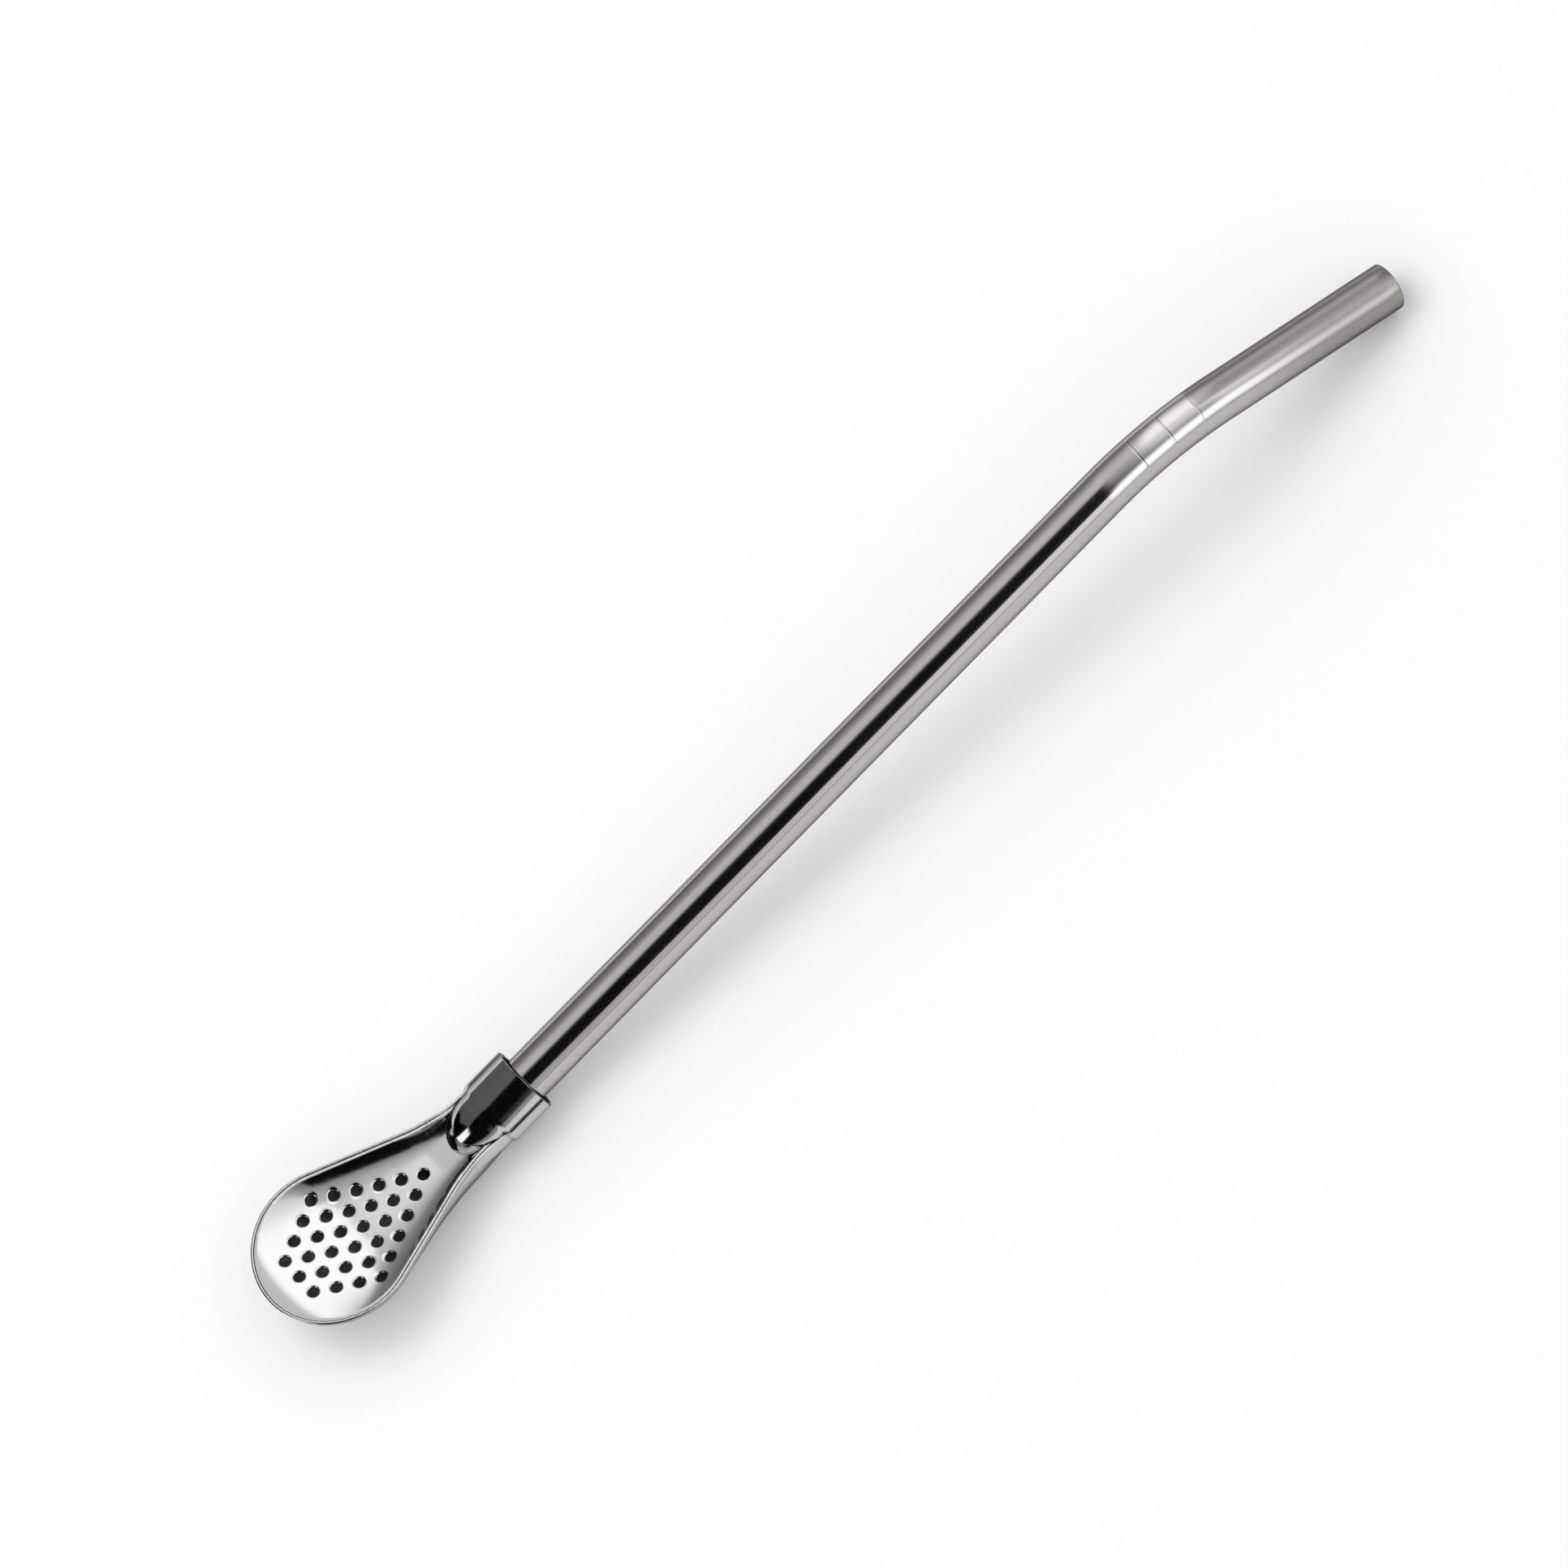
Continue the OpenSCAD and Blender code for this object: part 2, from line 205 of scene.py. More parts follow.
class StrawHoleSizes(bpy.types.PropertyGroup):
    hole_d: length("Hole diameter", "Diameter of each perforation", 1.3)
    hole_pitch: length("Hole pitch", "Distance from each perforation to its neighbours", 2.73)
    hole_tip: length("Hole lead", "Distance from the tip to the row with one perforation", 23.1)
    hole_rows: IntProperty(name="Longest row", description="Holes in the longest row", default=6, min=1)
    closing_rows: IntProperty(name="Closing rows", description="Rows after the longest one", default=3, min=0)
    roll_w: length("Roll width", "Width of the rolled edge round each perforation", 0.25)
    roll_drop: length("Roll drop", "How far the rolled edge drops into the perforation", 0.24)


class StrawFinishes(bpy.types.PropertyGroup):
    tube_steel: colour("Tube steel", "Colour of the tube's steel", (0.49, 0.48, 0.468))
    spoon_steel: colour("Spoon steel", "Colour of the spoon's steel", (0.55, 0.547, 0.55))
    # Painted shade: the hidden inside of the closed spoon gets a dark colour because little light reaches it
    raw_steel: colour("Shaded inside steel", "Colour of the steel inside the closed spoon", (0.16, 0.155, 0.15))
    satin_steel: colour("Satin steel", "Colour of the brushed mouth end's steel", (0.3, 0.29, 0.277))
    silicone: colour("Silicone", "Colour of the seal", (0.82, 0.82, 0.79))
    polish: share("Polish", "Roughness of the polished steel", 0.13)
    satin: share("Satin", "Roughness of the brushed mouth end", 0.22)


class StrawStudio(bpy.types.PropertyGroup):
    floor: colour("Floor", "Colour of the floor", (0.96, 0.96, 0.96))
    sky: FloatProperty(name="Sky", description="Strength of the even light all round", default=0.86, min=0)
    lamp: FloatProperty(name="Lamp", description="Power of the soft lamp", default=2.2, min=0, unit="POWER")
    lens: FloatProperty(name="Lens", description="Focal length in millimetres", default=800, min=50)
    tilt: angle("Tilt", "Angle of the tube's axis towards the viewer", 4.5)
    roll: angle("Roll", "Angle at which the face turns away from the viewer", 26)
    slant: angle("Slant", "Angle of the tube in the picture", 45.5)
    view_w: length("View width", "Width that the picture shows", 185.41)
    reach_right: length("Reach right", "From the socket mouth to the picture's middle, to the right", 30.52)
    reach_up: length("Reach up", "From the socket mouth to the picture's middle, upwards", 34.98)


def in_mm(group):
    """The values of a property group, with its lengths in millimetres and its angles in radians."""
    found = {}
    for prop in group.bl_rna.properties:
        if prop.identifier in ("rna_type", "name"):
            continue
        value = getattr(group, prop.identifier)
        found[prop.identifier] = value / MM if getattr(prop, "unit", "") == "LENGTH" else value
    return SimpleNamespace(**found)


def mix(a, b, t):
    return a * (1 - t) + b * t


def ramp(x, start, end):
    """0 before start, 1 after end, and an even curve between them."""
    t = np.clip((x - start) / (end - start), 0, 1)
    return t * t * (3 - 2 * t)


def blend_max(a, b, soft):
    """The larger of two, with a soft hollow where they meet."""
    return np.maximum(a, b) + np.maximum(0, soft - np.abs(a - b)) ** 2 / (4 * soft)


class Spoon:
    """The strainer's shape. u runs from the socket mouth to the tip, y across, z up from the tube's axis. The
    values below are millimetres, except a share, form, fullness or limit, an angle, and a number of tries."""

    STEP_L = 0.8
    NECK_L = 1.3
    FLARE_SHARE = 0.9
    KEEL_LEAD = 3.4
    STRIP_H = 0.45
    BELLY_U = 22
    BELLY_FORM = 0.7
    NOSE_LEAD = 0.7
    NOSE_L = 5
    NOSE_BLEND = 0.3
    CROWN_RISE = 0.25
    EDGE_DROP = 0.05
    LEDGE_W = 0.3
    NECK_LEAN = 0.1
    LEAN_START = 1
    LEAN_END = 4
    DISH_FORM = 4
    DISH_LEAD = 3
    DISH_FALL_L = 7
    DISH_END_L = 3.4
    TIP_RUN = 0.5
    CREASE_MIN_Y = 0.35
    CREASE_SHARE_GAP = 0.05
    CREASE_TRIES = 401
    FINE_NOSE_BEFORE = 2.2
    FINE_NOSE_AFTER = 0.2
    FOOT_ANGLE = math.radians(2)
    FACE_TURN_L = 2.2
    BACK_TURN_L = 5
    TOP_LIMIT = 0.9
    BOWL_FULLNESS = 1.3
    LAP_SHARES = (1, 0.66, 0.33)
    BACK_ANGLES = (-3, -8, *(-16 - 7.4 * k for k in range(11)))

    def __init__(self, spoon, tube):
        self.v = spoon
        self.tube_r = tube.tube_d / 2
        self.slope = math.tan(spoon.rim_tilt)
        self.collar_r = self.tube_r + 2 * spoon.running_gap + spoon.seal_t
        self.neck_r = self.tube_r + spoon.neck_gap
        self.neck_u = spoon.collar_l + self.STEP_L
        self.flare_u = self.neck_u + self.NECK_L
        self.nose_start = self.neck_u + self.NOSE_LEAD
        self.nose_end = self.nose_start + self.NOSE_L
        self.tip_r = spoon.bowl_w / 2
        self.bowl_u = spoon.spoon_l - self.tip_r
        self.lap_y = math.sqrt(self.lap_r(self.neck_u) ** 2 - self.rim_z(self.neck_u) ** 2)
        run = self.bowl_u - self.flare_u
        limit = (run**2 + self.lap_y**2 - self.tip_r**2) / (2 * (self.tip_r - self.lap_y))
        self.fillet_r = min(spoon.flare_r, self.FLARE_SHARE * limit)
        rise = self.lap_y + self.fillet_r
        self.flank = math.atan2(run, rise) - math.acos((self.tip_r + self.fillet_r) / math.hypot(run, rise))
        self.flank_start = self.flare_u + self.fillet_r * math.sin(self.flank)
        self.flank_end = self.bowl_u - self.tip_r * math.sin(self.flank)
        self.keel_u = self.flare_u + self.KEEL_LEAD
        self.keel_end = self.rim_z(self.bowl_u) - spoon.bowl_depth

    def sheet_r(self, u):
        """Outside radius of the half round, wide over the seal and narrow at the neck."""
        return mix(self.collar_r, self.neck_r, ramp(u, self.v.collar_l, self.neck_u)) + self.v.sheet

    def lap_r(self, u):
        """Outside radius of the back shell's lap over the half round."""
        return self.sheet_r(u) + self.v.seam_gap + self.v.sheet

    def rim_z(self, u):
        """Height of the rim, which rises from the collar and drops back a little at the tip."""
        rise = self.v.lap_rise + self.slope * np.maximum(0, u - self.v.collar_l)
        return rise - self.v.tip_drop * (np.maximum(0, u - self.bowl_u) / self.tip_r) ** 2

    def rim_y(self, u):
        """Half width at the rim before the round tip: the collar, the neck, a hollow flare and the flank."""
        u = np.asarray(u, float)
        round_y = np.sqrt(np.maximum(0, self.lap_r(u) ** 2 - self.rim_z(u) ** 2))
        hollow = np.sqrt(np.maximum(0, self.fillet_r**2 - (u - self.flare_u) ** 2))
        flare_y = self.lap_y + self.fillet_r - hollow
        flank_y = self.tip_r * math.cos(self.flank) - (self.flank_end - u) * math.tan(self.flank)
        near = np.where(u < self.neck_u, round_y, self.lap_y)
        far = np.where(u < self.flank_start, flare_y, flank_y)
        return np.where(u < self.flare_u, near, far)

    def rim_turn(self, u):
        """Angle between the rim and the middle line, in radians."""
        turn = np.arcsin(np.clip((u - self.flare_u) / self.fillet_r, 0, 1))
        return np.where(u < self.flank_start, turn, self.flank)

    def keel_z(self, u):
        """Height of the keel, an even curve from the neck down to the bowl's deepest section."""
        span = self.bowl_u - self.keel_u
        t = np.clip((u - self.keel_u) / span, 0, 1)
        start = -self.sheet_r(u) * (2 * t**3 - 3 * t**2 + 1)
        return start + self.keel_end * (3 * t**2 - 2 * t**3) + self.slope * span * (t**3 - t**2)

    def belly_z(self, u):
        """Height of the bowl's fullest line, from the axis at the neck up to the strip below the rim."""
        return (self.rim_z(u) - self.STRIP_H) * ramp(u, self.neck_u, self.BELLY_U) ** self.BELLY_FORM

    def dish_now(self, u):
        """Depth of the dish on the middle line."""
        down = ramp(u, self.v.collar_l - self.DISH_LEAD, self.flare_u + self.DISH_FALL_L)
        up = ramp(u, self.bowl_u - self.DISH_END_L, self.v.spoon_l + self.TIP_RUN)
        return self.v.dish_depth * down * (1 - up)

    def dish_z(self, u, out_share):
        """Height of the dish at a share of the way out from its foot, which is 1 at its edge."""
        flat = 1 - np.minimum(1, out_share) ** self.DISH_FORM
        return self.rim_z(u) - self.EDGE_DROP - self.dish_now(u) * flat

    def crown(self, u):
        """How much higher the half round stands than a true circle: its top falls evenly, without a step."""
        high = self.collar_r + self.CROWN_RISE * (1 - np.minimum(u, self.nose_end) / self.v.collar_l)
        return (high + self.v.sheet) / self.sheet_r(u)

    def nose_top(self, u, y):
        """Height of the nose, the rounded end of the half round, and a low value where there is none."""
        q = np.maximum(0, u - self.nose_start) / self.NOSE_L
        left = self.sheet_r(u) ** 2 * (1 - q * q) - y * y
        return np.where(left > 0, self.crown(u) * np.sqrt(np.maximum(0, left)), -self.sheet_r(u))

    def stations(self, step):
        """Rows of [u, y, foot] along the right rim, mouth to tip. A section's foot is on the middle line."""
        fine = (self.nose_end - self.FINE_NOSE_BEFORE, self.nose_end + self.FINE_NOSE_AFTER)
        stops = (0, self.v.collar_l, self.neck_u, *fine, self.flank_end)
        gaps = (2 * step, step / 2, step / 2, step / 3, step)
        parts = [np.linspace(a, b, round((b - a) / gap) + 1)[1:] for a, b, gap in zip(stops, stops[1:], gaps)]
        u = np.concatenate([[0.0], *parts])
        y = self.rim_y(u)
        sides = np.stack([u, y, u + y * np.tan(self.rim_turn(u))], 1)
        half_turn = math.pi / 2 + self.flank
        turns = np.linspace(half_turn, 0, round(half_turn * self.tip_r / step) + 1)[1:]
        foot = np.full(len(turns), self.bowl_u)
        arc = np.stack([foot + self.tip_r * np.cos(turns), self.tip_r * np.sin(turns), foot], 1)
        return np.concatenate([sides, arc])

    def edge_share(self, u, out):
        """Share of the way from a section's foot to the rim at which the face's edge lies."""
        lean = self.NECK_LEAN * (1 - ramp(u - self.flare_u, self.LEAN_START, self.LEAN_END))
        return (out - self.v.sheet - self.v.seam_gap - lean) / out

    def dish_edge(self, u, out):
        """Share of that way at which the dish ends and its flat ledge starts."""
        return self.edge_share(u, out) - self.LEDGE_W / out

    def reach(self, u, y):
        """Foot, reach to the rim and place on the rim for a point in plan, by the section that holds it."""
        y = np.abs(y)
        far = np.arctan2(y, u - self.bowl_u) <= math.pi / 2 + self.flank
        flare_turn = np.arctan2(u - self.flare_u, self.lap_y + self.fillet_r - y)
        in_flare = flare_turn < self.flank
        turn = np.where(in_flare, np.maximum(flare_turn, 0), self.flank)
        foot = np.where(far, self.bowl_u, u + y * np.tan(turn))
        base = self.tip_r * math.cos(self.flank) - self.flank_end * math.tan(self.flank)
        flank_u = (foot - base * math.tan(self.flank)) * math.cos(self.flank) ** 2
        flare_out = (self.lap_y + self.fillet_r) / np.cos(turn) - self.fillet_r
        flank_out = (base + flank_u * math.tan(self.flank)) / math.cos(self.flank)
        out = np.where(far, self.tip_r, np.where(in_flare, flare_out, flank_out))
        at_u = np.where(in_flare, self.flare_u + self.fillet_r * np.sin(turn), flank_u)
        return foot, out, np.where(far, self.bowl_u, at_u)

    def face_z(self, u, y):
        """Height of the face's top surface beyond the neck."""
        foot, out, at_u = self.reach(u, y)
        dish = self.dish_z(u, np.hypot(u - foot, y) / out / self.dish_edge(at_u, out))
        return blend_max(dish, self.nose_top(u, y), self.NOSE_BLEND)

    def crease_share(self, rows, limit):
        """For each station, the share of the way from foot to rim at which the nose meets the dish."""
        at_u, at_y, foot = (rows[:, k : k + 1] for k in range(3))
        tries = np.linspace(0, 1, self.CREASE_TRIES)[None, :]
        u, y = mix(foot, at_u, tries), at_y * tries
        dish = self.dish_z(u, tries / self.dish_edge(at_u, np.hypot(at_u - foot, at_y)))
        over = np.where(self.nose_top(u, y) > dish, tries, 0).max(1, keepdims=True)
        return np.clip(over, self.CREASE_MIN_Y / at_y, limit - self.CREASE_SHARE_GAP)

    def face_rows(self, rows, insets, inner):
        """Grid of points over the half round and the neck. Rows are stations, columns run edge to middle."""
        at_u, at_y, foot = (rows[:, k : k + 1] for k in range(3))
        out = np.hypot(at_u - foot, at_y)
        edge = self.edge_share(at_u, out)
        near = edge - np.asarray(insets)[None, :] / out
        crease = self.crease_share(rows, near[:, -1:])
        outer = inner // 3
        outer_part = np.sin(np.linspace(0, math.pi / 2, outer + 1))[None, 1:]
        inner_part = 1 - np.cos(np.linspace(0, math.pi / 2, inner - outer + 1))[None, 1:]
        to_crease = mix(near[:, -1:], crease, outer_part)
        shares = np.concatenate([near, to_crease, crease * (1 - inner_part)], 1)
        flat = ramp(at_u, self.v.collar_l, self.v.collar_l + self.FACE_TURN_L)
        u = mix(at_u, mix(foot, at_u, shares), flat)
        round_y = self.sheet_r(at_u) * np.cos(mix(self.FOOT_ANGLE, math.pi / 2, 1 - shares / edge))
        y = mix(round_y, at_y * shares, flat)
        round_z = self.crown(u) * np.sqrt(np.maximum(0, self.sheet_r(u) ** 2 - y**2))
        dish = self.dish_z(u, np.hypot(u - foot, y) / out / self.dish_edge(at_u, out))
        z = mix(round_z, blend_max(dish, self.nose_top(u, y), self.NOSE_BLEND), flat)
        return np.stack([-u, y, z], 2)

    def back_rows(self, rows, columns):
        """Grid of points over the outside of the back shell, from the rim to the keel."""
        at_u, at_y, foot = (rows[:, k : k + 1] for k in range(3))
        last = len(self.LAP_SHARES) + len(self.BACK_ANGLES) - 1
        j = np.linspace(0, last, columns)[None, :]
        rim_angle = np.arcsin(np.minimum(1, self.rim_z(at_u) / self.lap_r(at_u)))
        knots = [rim_angle * part for part in self.LAP_SHARES]
        knots += [np.full_like(rim_angle, math.radians(a)) for a in self.BACK_ANGLES]
        table = np.concatenate(knots, 1)
        low = np.minimum(np.floor(j).astype(int), last - 1)
        turn_round = mix(table[:, low[0]], table[:, low[0] + 1], j - low)
        lap_end = len(self.LAP_SHARES)
        r = mix(self.lap_r(at_u), self.sheet_r(at_u), ramp(j, lap_end, lap_end + 1))
        round_point = np.stack([-at_u + 0 * j, r * np.cos(turn_round), r * np.sin(turn_round)], 2)
        half_h = self.belly_z(foot) - self.keel_z(foot)
        rise = self.rim_z(foot) - self.STRIP_H - self.belly_z(foot)
        top_turn = np.arcsin(np.minimum(self.TOP_LIMIT, rise / half_h))
        turn = mix(top_turn, -math.pi / 2, np.maximum(0, j - 1) / (last - 1))
        part = np.cos(turn) / np.cos(top_turn)
        u = mix(foot, at_u, part)
        fullness = mix(1, self.BOWL_FULLNESS, ramp(foot, self.keel_u, self.bowl_u))
        lift = np.where(turn > 0, np.sin(turn), -(np.maximum(0, -np.sin(turn)) ** fullness))
        drop = np.minimum(1, j) * (self.STRIP_H + rise - half_h * lift)
        bowl_point = np.stack([-u, at_y * part, self.rim_z(u) - drop], 2)
        in_bowl = ramp(at_u, self.neck_u, self.neck_u + self.BACK_TURN_L)
        return mix(round_point, bowl_point, in_bowl[:, :, None])


def mirrored(rows):
    """A grid over both sides: the right side's rows from mouth to tip, and back along the left side."""
    return np.concatenate([rows, rows[-2::-1] * MIRROR])


def one_skin(points, faces, up):
    """One skin of a sheet, without doubles or collapsed faces. It faces upwards where up is 1, else down."""
    skin = bmesh.new()
    for p in points:
        skin.verts.new(p)
    skin.verts.ensure_lookup_table()
    for f in faces:
        if len(set(f)) == len(f):
            skin.faces.new([skin.verts[k] for k in f])
    bmesh.ops.remove_doubles(skin, verts=skin.verts, dist=SHEET_TOUCH)
    bmesh.ops.recalc_face_normals(skin, faces=skin.faces)
    if sum(f.normal.z * f.calc_area() for f in skin.faces) * up < 0:
        bmesh.ops.reverse_faces(skin, faces=skin.faces)
    skin.normal_update()
    skin.verts.index_update()
    return skin


def skin_border(skin, on_loop):
    """The edges of a skin's border, and the way out of the sheet at each of their points. An edge whose
    points are both on an open loop is left out."""
    edges, outward = [], {}
    for e in skin.edges:
        if len(e.link_faces) != 1 or all(on_loop[v.index] for v in e.verts):
            continue
        face = e.link_faces[0]
        corner = next(item for item in face.loops if item.edge == e)
        a, b = corner.vert, corner.link_loop_next.vert
        edges.append((a.index, b.index))
        away = (b.co - a.co).cross(face.normal)
        for v in (a, b):
            outward[v.index] = outward.get(v.index, Vector()) + away
    return edges, outward


def rounded(p):
    """A point to the micrometre, so that two reckonings of it compare as one."""
    return tuple(round(c, 3) for c in p)


def point_values(mesh, name, values):
    attribute = mesh.attributes.new(name, "FLOAT", "POINT")
    attribute.data.foreach_set("value", values)


def sheet_mesh(points, faces, thickness, bulge, up, open_points=()):
    """A closed sheet from one skin. The other skin lies a thickness behind it, and the edges between them are
    rounded. Boundaries whose points are in open_points stay open. The mesh says by attributes what is inside,
    which is 1 on the hidden skin, and what is on a loop, which is 1 on the open boundaries."""
    skin = one_skin(points, faces, up)
    front = [v.co.copy() for v in skin.verts]
    back = [v.co - v.normal * thickness for v in skin.verts]
    count = len(front)
    open_set = {rounded(p) for p in open_points}
    on_loop = [float(rounded(p) in open_set) for p in front]
    rim_edges, outward = skin_border(skin, on_loop)
    polygons = [tuple(v.index for v in f.verts) for f in skin.faces]
    polygons += [tuple(k + count for k in reversed(p)) for p in polygons]
    skin.free()
    vertices = front + back
    chains = {}
    for k, away in outward.items():
        chain = [k]
        for step in range(1, EDGE_STEPS):
            t = step / EDGE_STEPS
            chain.append(len(vertices))
            vertices.append(front[k].lerp(back[k], t) + away.normalized() * bulge * math.sin(math.pi * t))
        chains[k] = chain + [k + count]
    for a, b in rim_edges:
        low, high = chains[a], chains[b]
        for step in range(EDGE_STEPS):
            polygons.append((high[step], low[step], low[step + 1], high[step + 1]))
    mesh = bpy.data.meshes.new("sheet")
    mesh.from_pydata([tuple(v) for v in vertices], [], polygons)
    added = [0.0] * (len(vertices) - 2 * count)
    point_values(mesh, "inside", [0.0] * count + [1.0] * count + added)
    point_values(mesh, "loop", on_loop * 2 + added)
    return mesh


def grid_faces(grid):
    """Quads over a grid of points that is kept row by row."""
    rows, columns = grid.shape[:2]
    found = []
    for i in range(rows - 1):
        a, b = i * columns, (i + 1) * columns
        found += [(a + j, b + j, b + j + 1, a + j + 1) for j in range(columns - 1)]
    return found


def ring_faces(count, around):
    """Quads over rings of points, of which the last ring joins the first."""
    found = []
    for i in range(count):
        a, b = i * around, (i + 1) % count * around
        for k in range(around):
            n = (k + 1) % around
            found.append((a + k, a + n, b + n, b + k))
    return found


class Value:
    """One socket of a node tree, with arithmetic that adds the nodes for it."""

    def __init__(self, tree, socket):
        self.tree = tree
        self.socket = socket

    def math(self, operation, *others):
        return self.tree.node("ShaderNodeMath", {"operation": operation}, [self, *others])

    def __add__(self, other):
        return self.math("ADD", other)

    __radd__ = __add__

    def __sub__(self, other):
        return self.math("SUBTRACT", other)

    def __rsub__(self, other):
        return self.tree.node("ShaderNodeMath", {"operation": "SUBTRACT"}, [other, self])

    def __mul__(self, other):
        return self.math("MULTIPLY", other)

    __rmul__ = __mul__

    def __truediv__(self, other):
        return self.math("DIVIDE", other)

    def ramp(self, start, end):
        """0 before start, 1 after end, and an even curve between them."""
        settings = {"interpolation_type": "SMOOTHSTEP"}
        return self.tree.node("ShaderNodeMapRange", settings, {0: self, 1: start, 2: end, 3: 0.0, 4: 1.0})

    def band(self, start, end, soft):
        """1 between start and end, with soft borders."""
        return self.ramp(start - soft, start + soft) * (1 - self.ramp(end - soft, end + soft))


class Tree:
    """A node tree that is built by calls."""

    def __init__(self, tree):
        self.tree = tree

    def node(self, kind, settings=None, inputs=(), output=0):
        """Adds a node, makes its settings first, then fills its inputs, and gives one of its outputs."""
        made = self.tree.nodes.new(kind)
        for name, value in (settings or {}).items():
            setattr(made, name, value)
        pairs = inputs.items() if isinstance(inputs, dict) else enumerate(inputs)
        for name, value in pairs:
            socket = made.inputs[name]
            if isinstance(value, Value):
                self.tree.links.new(value.socket, socket)
            else:
                socket.default_value = value
        return Value(self, made.outputs[output]) if made.outputs else made

    def output(self, value, name):
        return Value(self, value.socket.node.outputs[name])

    def join(self, *parts):
        made = self.tree.nodes.new("GeometryNodeJoinGeometry")
        for part in parts:
            self.tree.links.new(part.socket, made.inputs[0])
        return Value(self, made.outputs[0])


def geometry_tree(name, sizes):
    """A geometry tree with a geometry input and output and named inputs. Returns the tree and its inputs."""
    made = bpy.data.node_groups.new(name, "GeometryNodeTree")
    face = made.interface
    face.new_socket("Geometry", in_out="OUTPUT", socket_type="NodeSocketGeometry")
    face.new_socket("Geometry", in_out="INPUT", socket_type="NodeSocketGeometry")
    for label, kind in sizes:
        face.new_socket(label, in_out="INPUT", socket_type=kind)
    tree = Tree(made)
    group = made.nodes.new("NodeGroupInput")
    return tree, {socket.name: Value(tree, socket) for socket in group.outputs if socket.name}


def end_tree(tree, geometry, steel):
    real = tree.node("GeometryNodeRealizeInstances", None, [geometry])
    done = tree.node("GeometryNodeSetMaterial", None, {"Geometry": real, "Material": steel})
    tree.node("NodeGroupOutput", None, [done])


def linked(name, data):
    """A new object in the scene."""
    obj = bpy.data.objects.new(name, data)
    bpy.context.scene.collection.objects.link(obj)
    return obj


def grown(name, mesh, tree, values):
    """The plain mesh that a geometry tree makes of a mesh, as a new object."""
    obj = linked(name, mesh)
    modifier = obj.modifiers.new("Grow", "NODES")
    modifier.node_group = tree.tree
    for item in tree.tree.interface.items_tree:
        if item.in_out == "INPUT" and item.name in values:
            modifier[item.identifier] = values[item.name]
    obj.update_tag()
    bpy.context.view_layer.update()
    depsgraph = bpy.context.evaluated_depsgraph_get()
    result = bpy.data.meshes.new_from_object(obj.evaluated_get(depsgraph), depsgraph=depsgraph)
    obj.modifiers.remove(modifier)
    obj.data = result
    return obj


def laid(obj, body, node):
    """Turns a piece from the drawing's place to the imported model's, and hands it to its CAD body."""
    obj.data.transform(LAY)
    obj.data.shade_smooth()
    obj.data.set_sharp_from_angle(angle=SHARP_ANGLE)
    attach(obj, body)
    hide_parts(node)
    return obj


def material(name, build):
    """A material with one Principled shader, filled by build(tree, shader)."""
    made = bpy.data.materials.new(name)
    made.use_nodes = True
    tree = Tree(made.node_tree)
    build(tree, made.node_tree.nodes["Principled BSDF"])
    return made


def feed(tree, shader, name, value):
    tree.tree.links.new(value.socket, shader.inputs[name])


def stretched_noise(tree, place, scales, detail, roughness=0.5):
    """Noise on a place, with its own scale along each axis."""
    mapped = tree.node("ShaderNodeMapping", None, {"Vector": place, "Scale": scales})
    inputs = {"Vector": mapped, "Scale": 1.0, "Detail": detail, "Roughness": roughness}
    return tree.node("ShaderNodeTexNoise", None, inputs)


def blended(tree, low, high, factor):
    """A colour between two, each of them a constant or a socket."""
    return tree.node("ShaderNodeMix", {"data_type": "RGBA"}, {0: factor, 6: low, 7: high}, output=2)


def tinted(tree, base, spread, factor):
    """A colour that wanders between a little darker and a little lighter than its base."""
    low = (*(max(0.0, c * (1 - spread)) for c in base), 1.0)
    high = (*(min(1.0, c * (1 + spread)) for c in base), 1.0)
    return blended(tree, low, high, factor)


def bumped(tree, shader, strength, distance, height):
    inputs = {"Strength": strength, "Distance": distance, "Height": height}
    feed(tree, shader, "Normal", tree.node("ShaderNodeBump", None, inputs))


def metal(shader, tint):
    shader.inputs["Metallic"].default_value = 1.0
    shader.inputs["Specular Tint"].default_value = (*tint, 1.0)


def tube_material(finish, sizes):
    """Drawn steel, polished on a wheel: a very fine grain round the tube, which draws every reflection out
    along it. Past the last rolled ring it is satin, at once on its upper side and only slowly below."""
    satin_from = sizes.straight_l + sizes.ring_start + (sizes.ring_count - 1) * sizes.ring_pitch

    def build(tree, shader):
        straight = tree.node("ShaderNodeAttribute", {"attribute_name": "straight"}, output="Vector")
        run = tree.node("ShaderNodeSeparateXYZ", None, [straight])
        slow = run.ramp(satin_from + 1, satin_from + 22)
        sudden = run.ramp(satin_from - 0.3, satin_from + 0.6)
        satin = mix(slow, sudden, tree.output(run, "Y").ramp(-1.1, -0.7))
        grain = stretched_noise(tree, straight, (14.0, 0.5, 0.5), 3.0, 0.6)
        cloud = stretched_noise(tree, straight, (0.08, 0.5, 0.5), 2.0)
        speck = stretched_noise(tree, straight, (2.2, 8.0, 8.0), 2.0)
        rough = finish.polish * 0.5 + grain * 0.03 + cloud * 0.04
        rough = rough + satin * (finish.satin - finish.polish + speck * 0.08)
        feed(tree, shader, "Roughness", rough)
        bright = tinted(tree, finish.tube_steel, 0.04, grain)
        matt = tinted(tree, finish.satin_steel, 0.12, grain * 0.4 + speck * 0.6)
        feed(tree, shader, "Base Color", blended(tree, bright, matt, satin))
        bumped(tree, shader, 0.07, 0.00001, grain + speck * satin * 1.2)
        metal(shader, (0.3, 0.29, 0.28))

    return material("drawn steel", build)


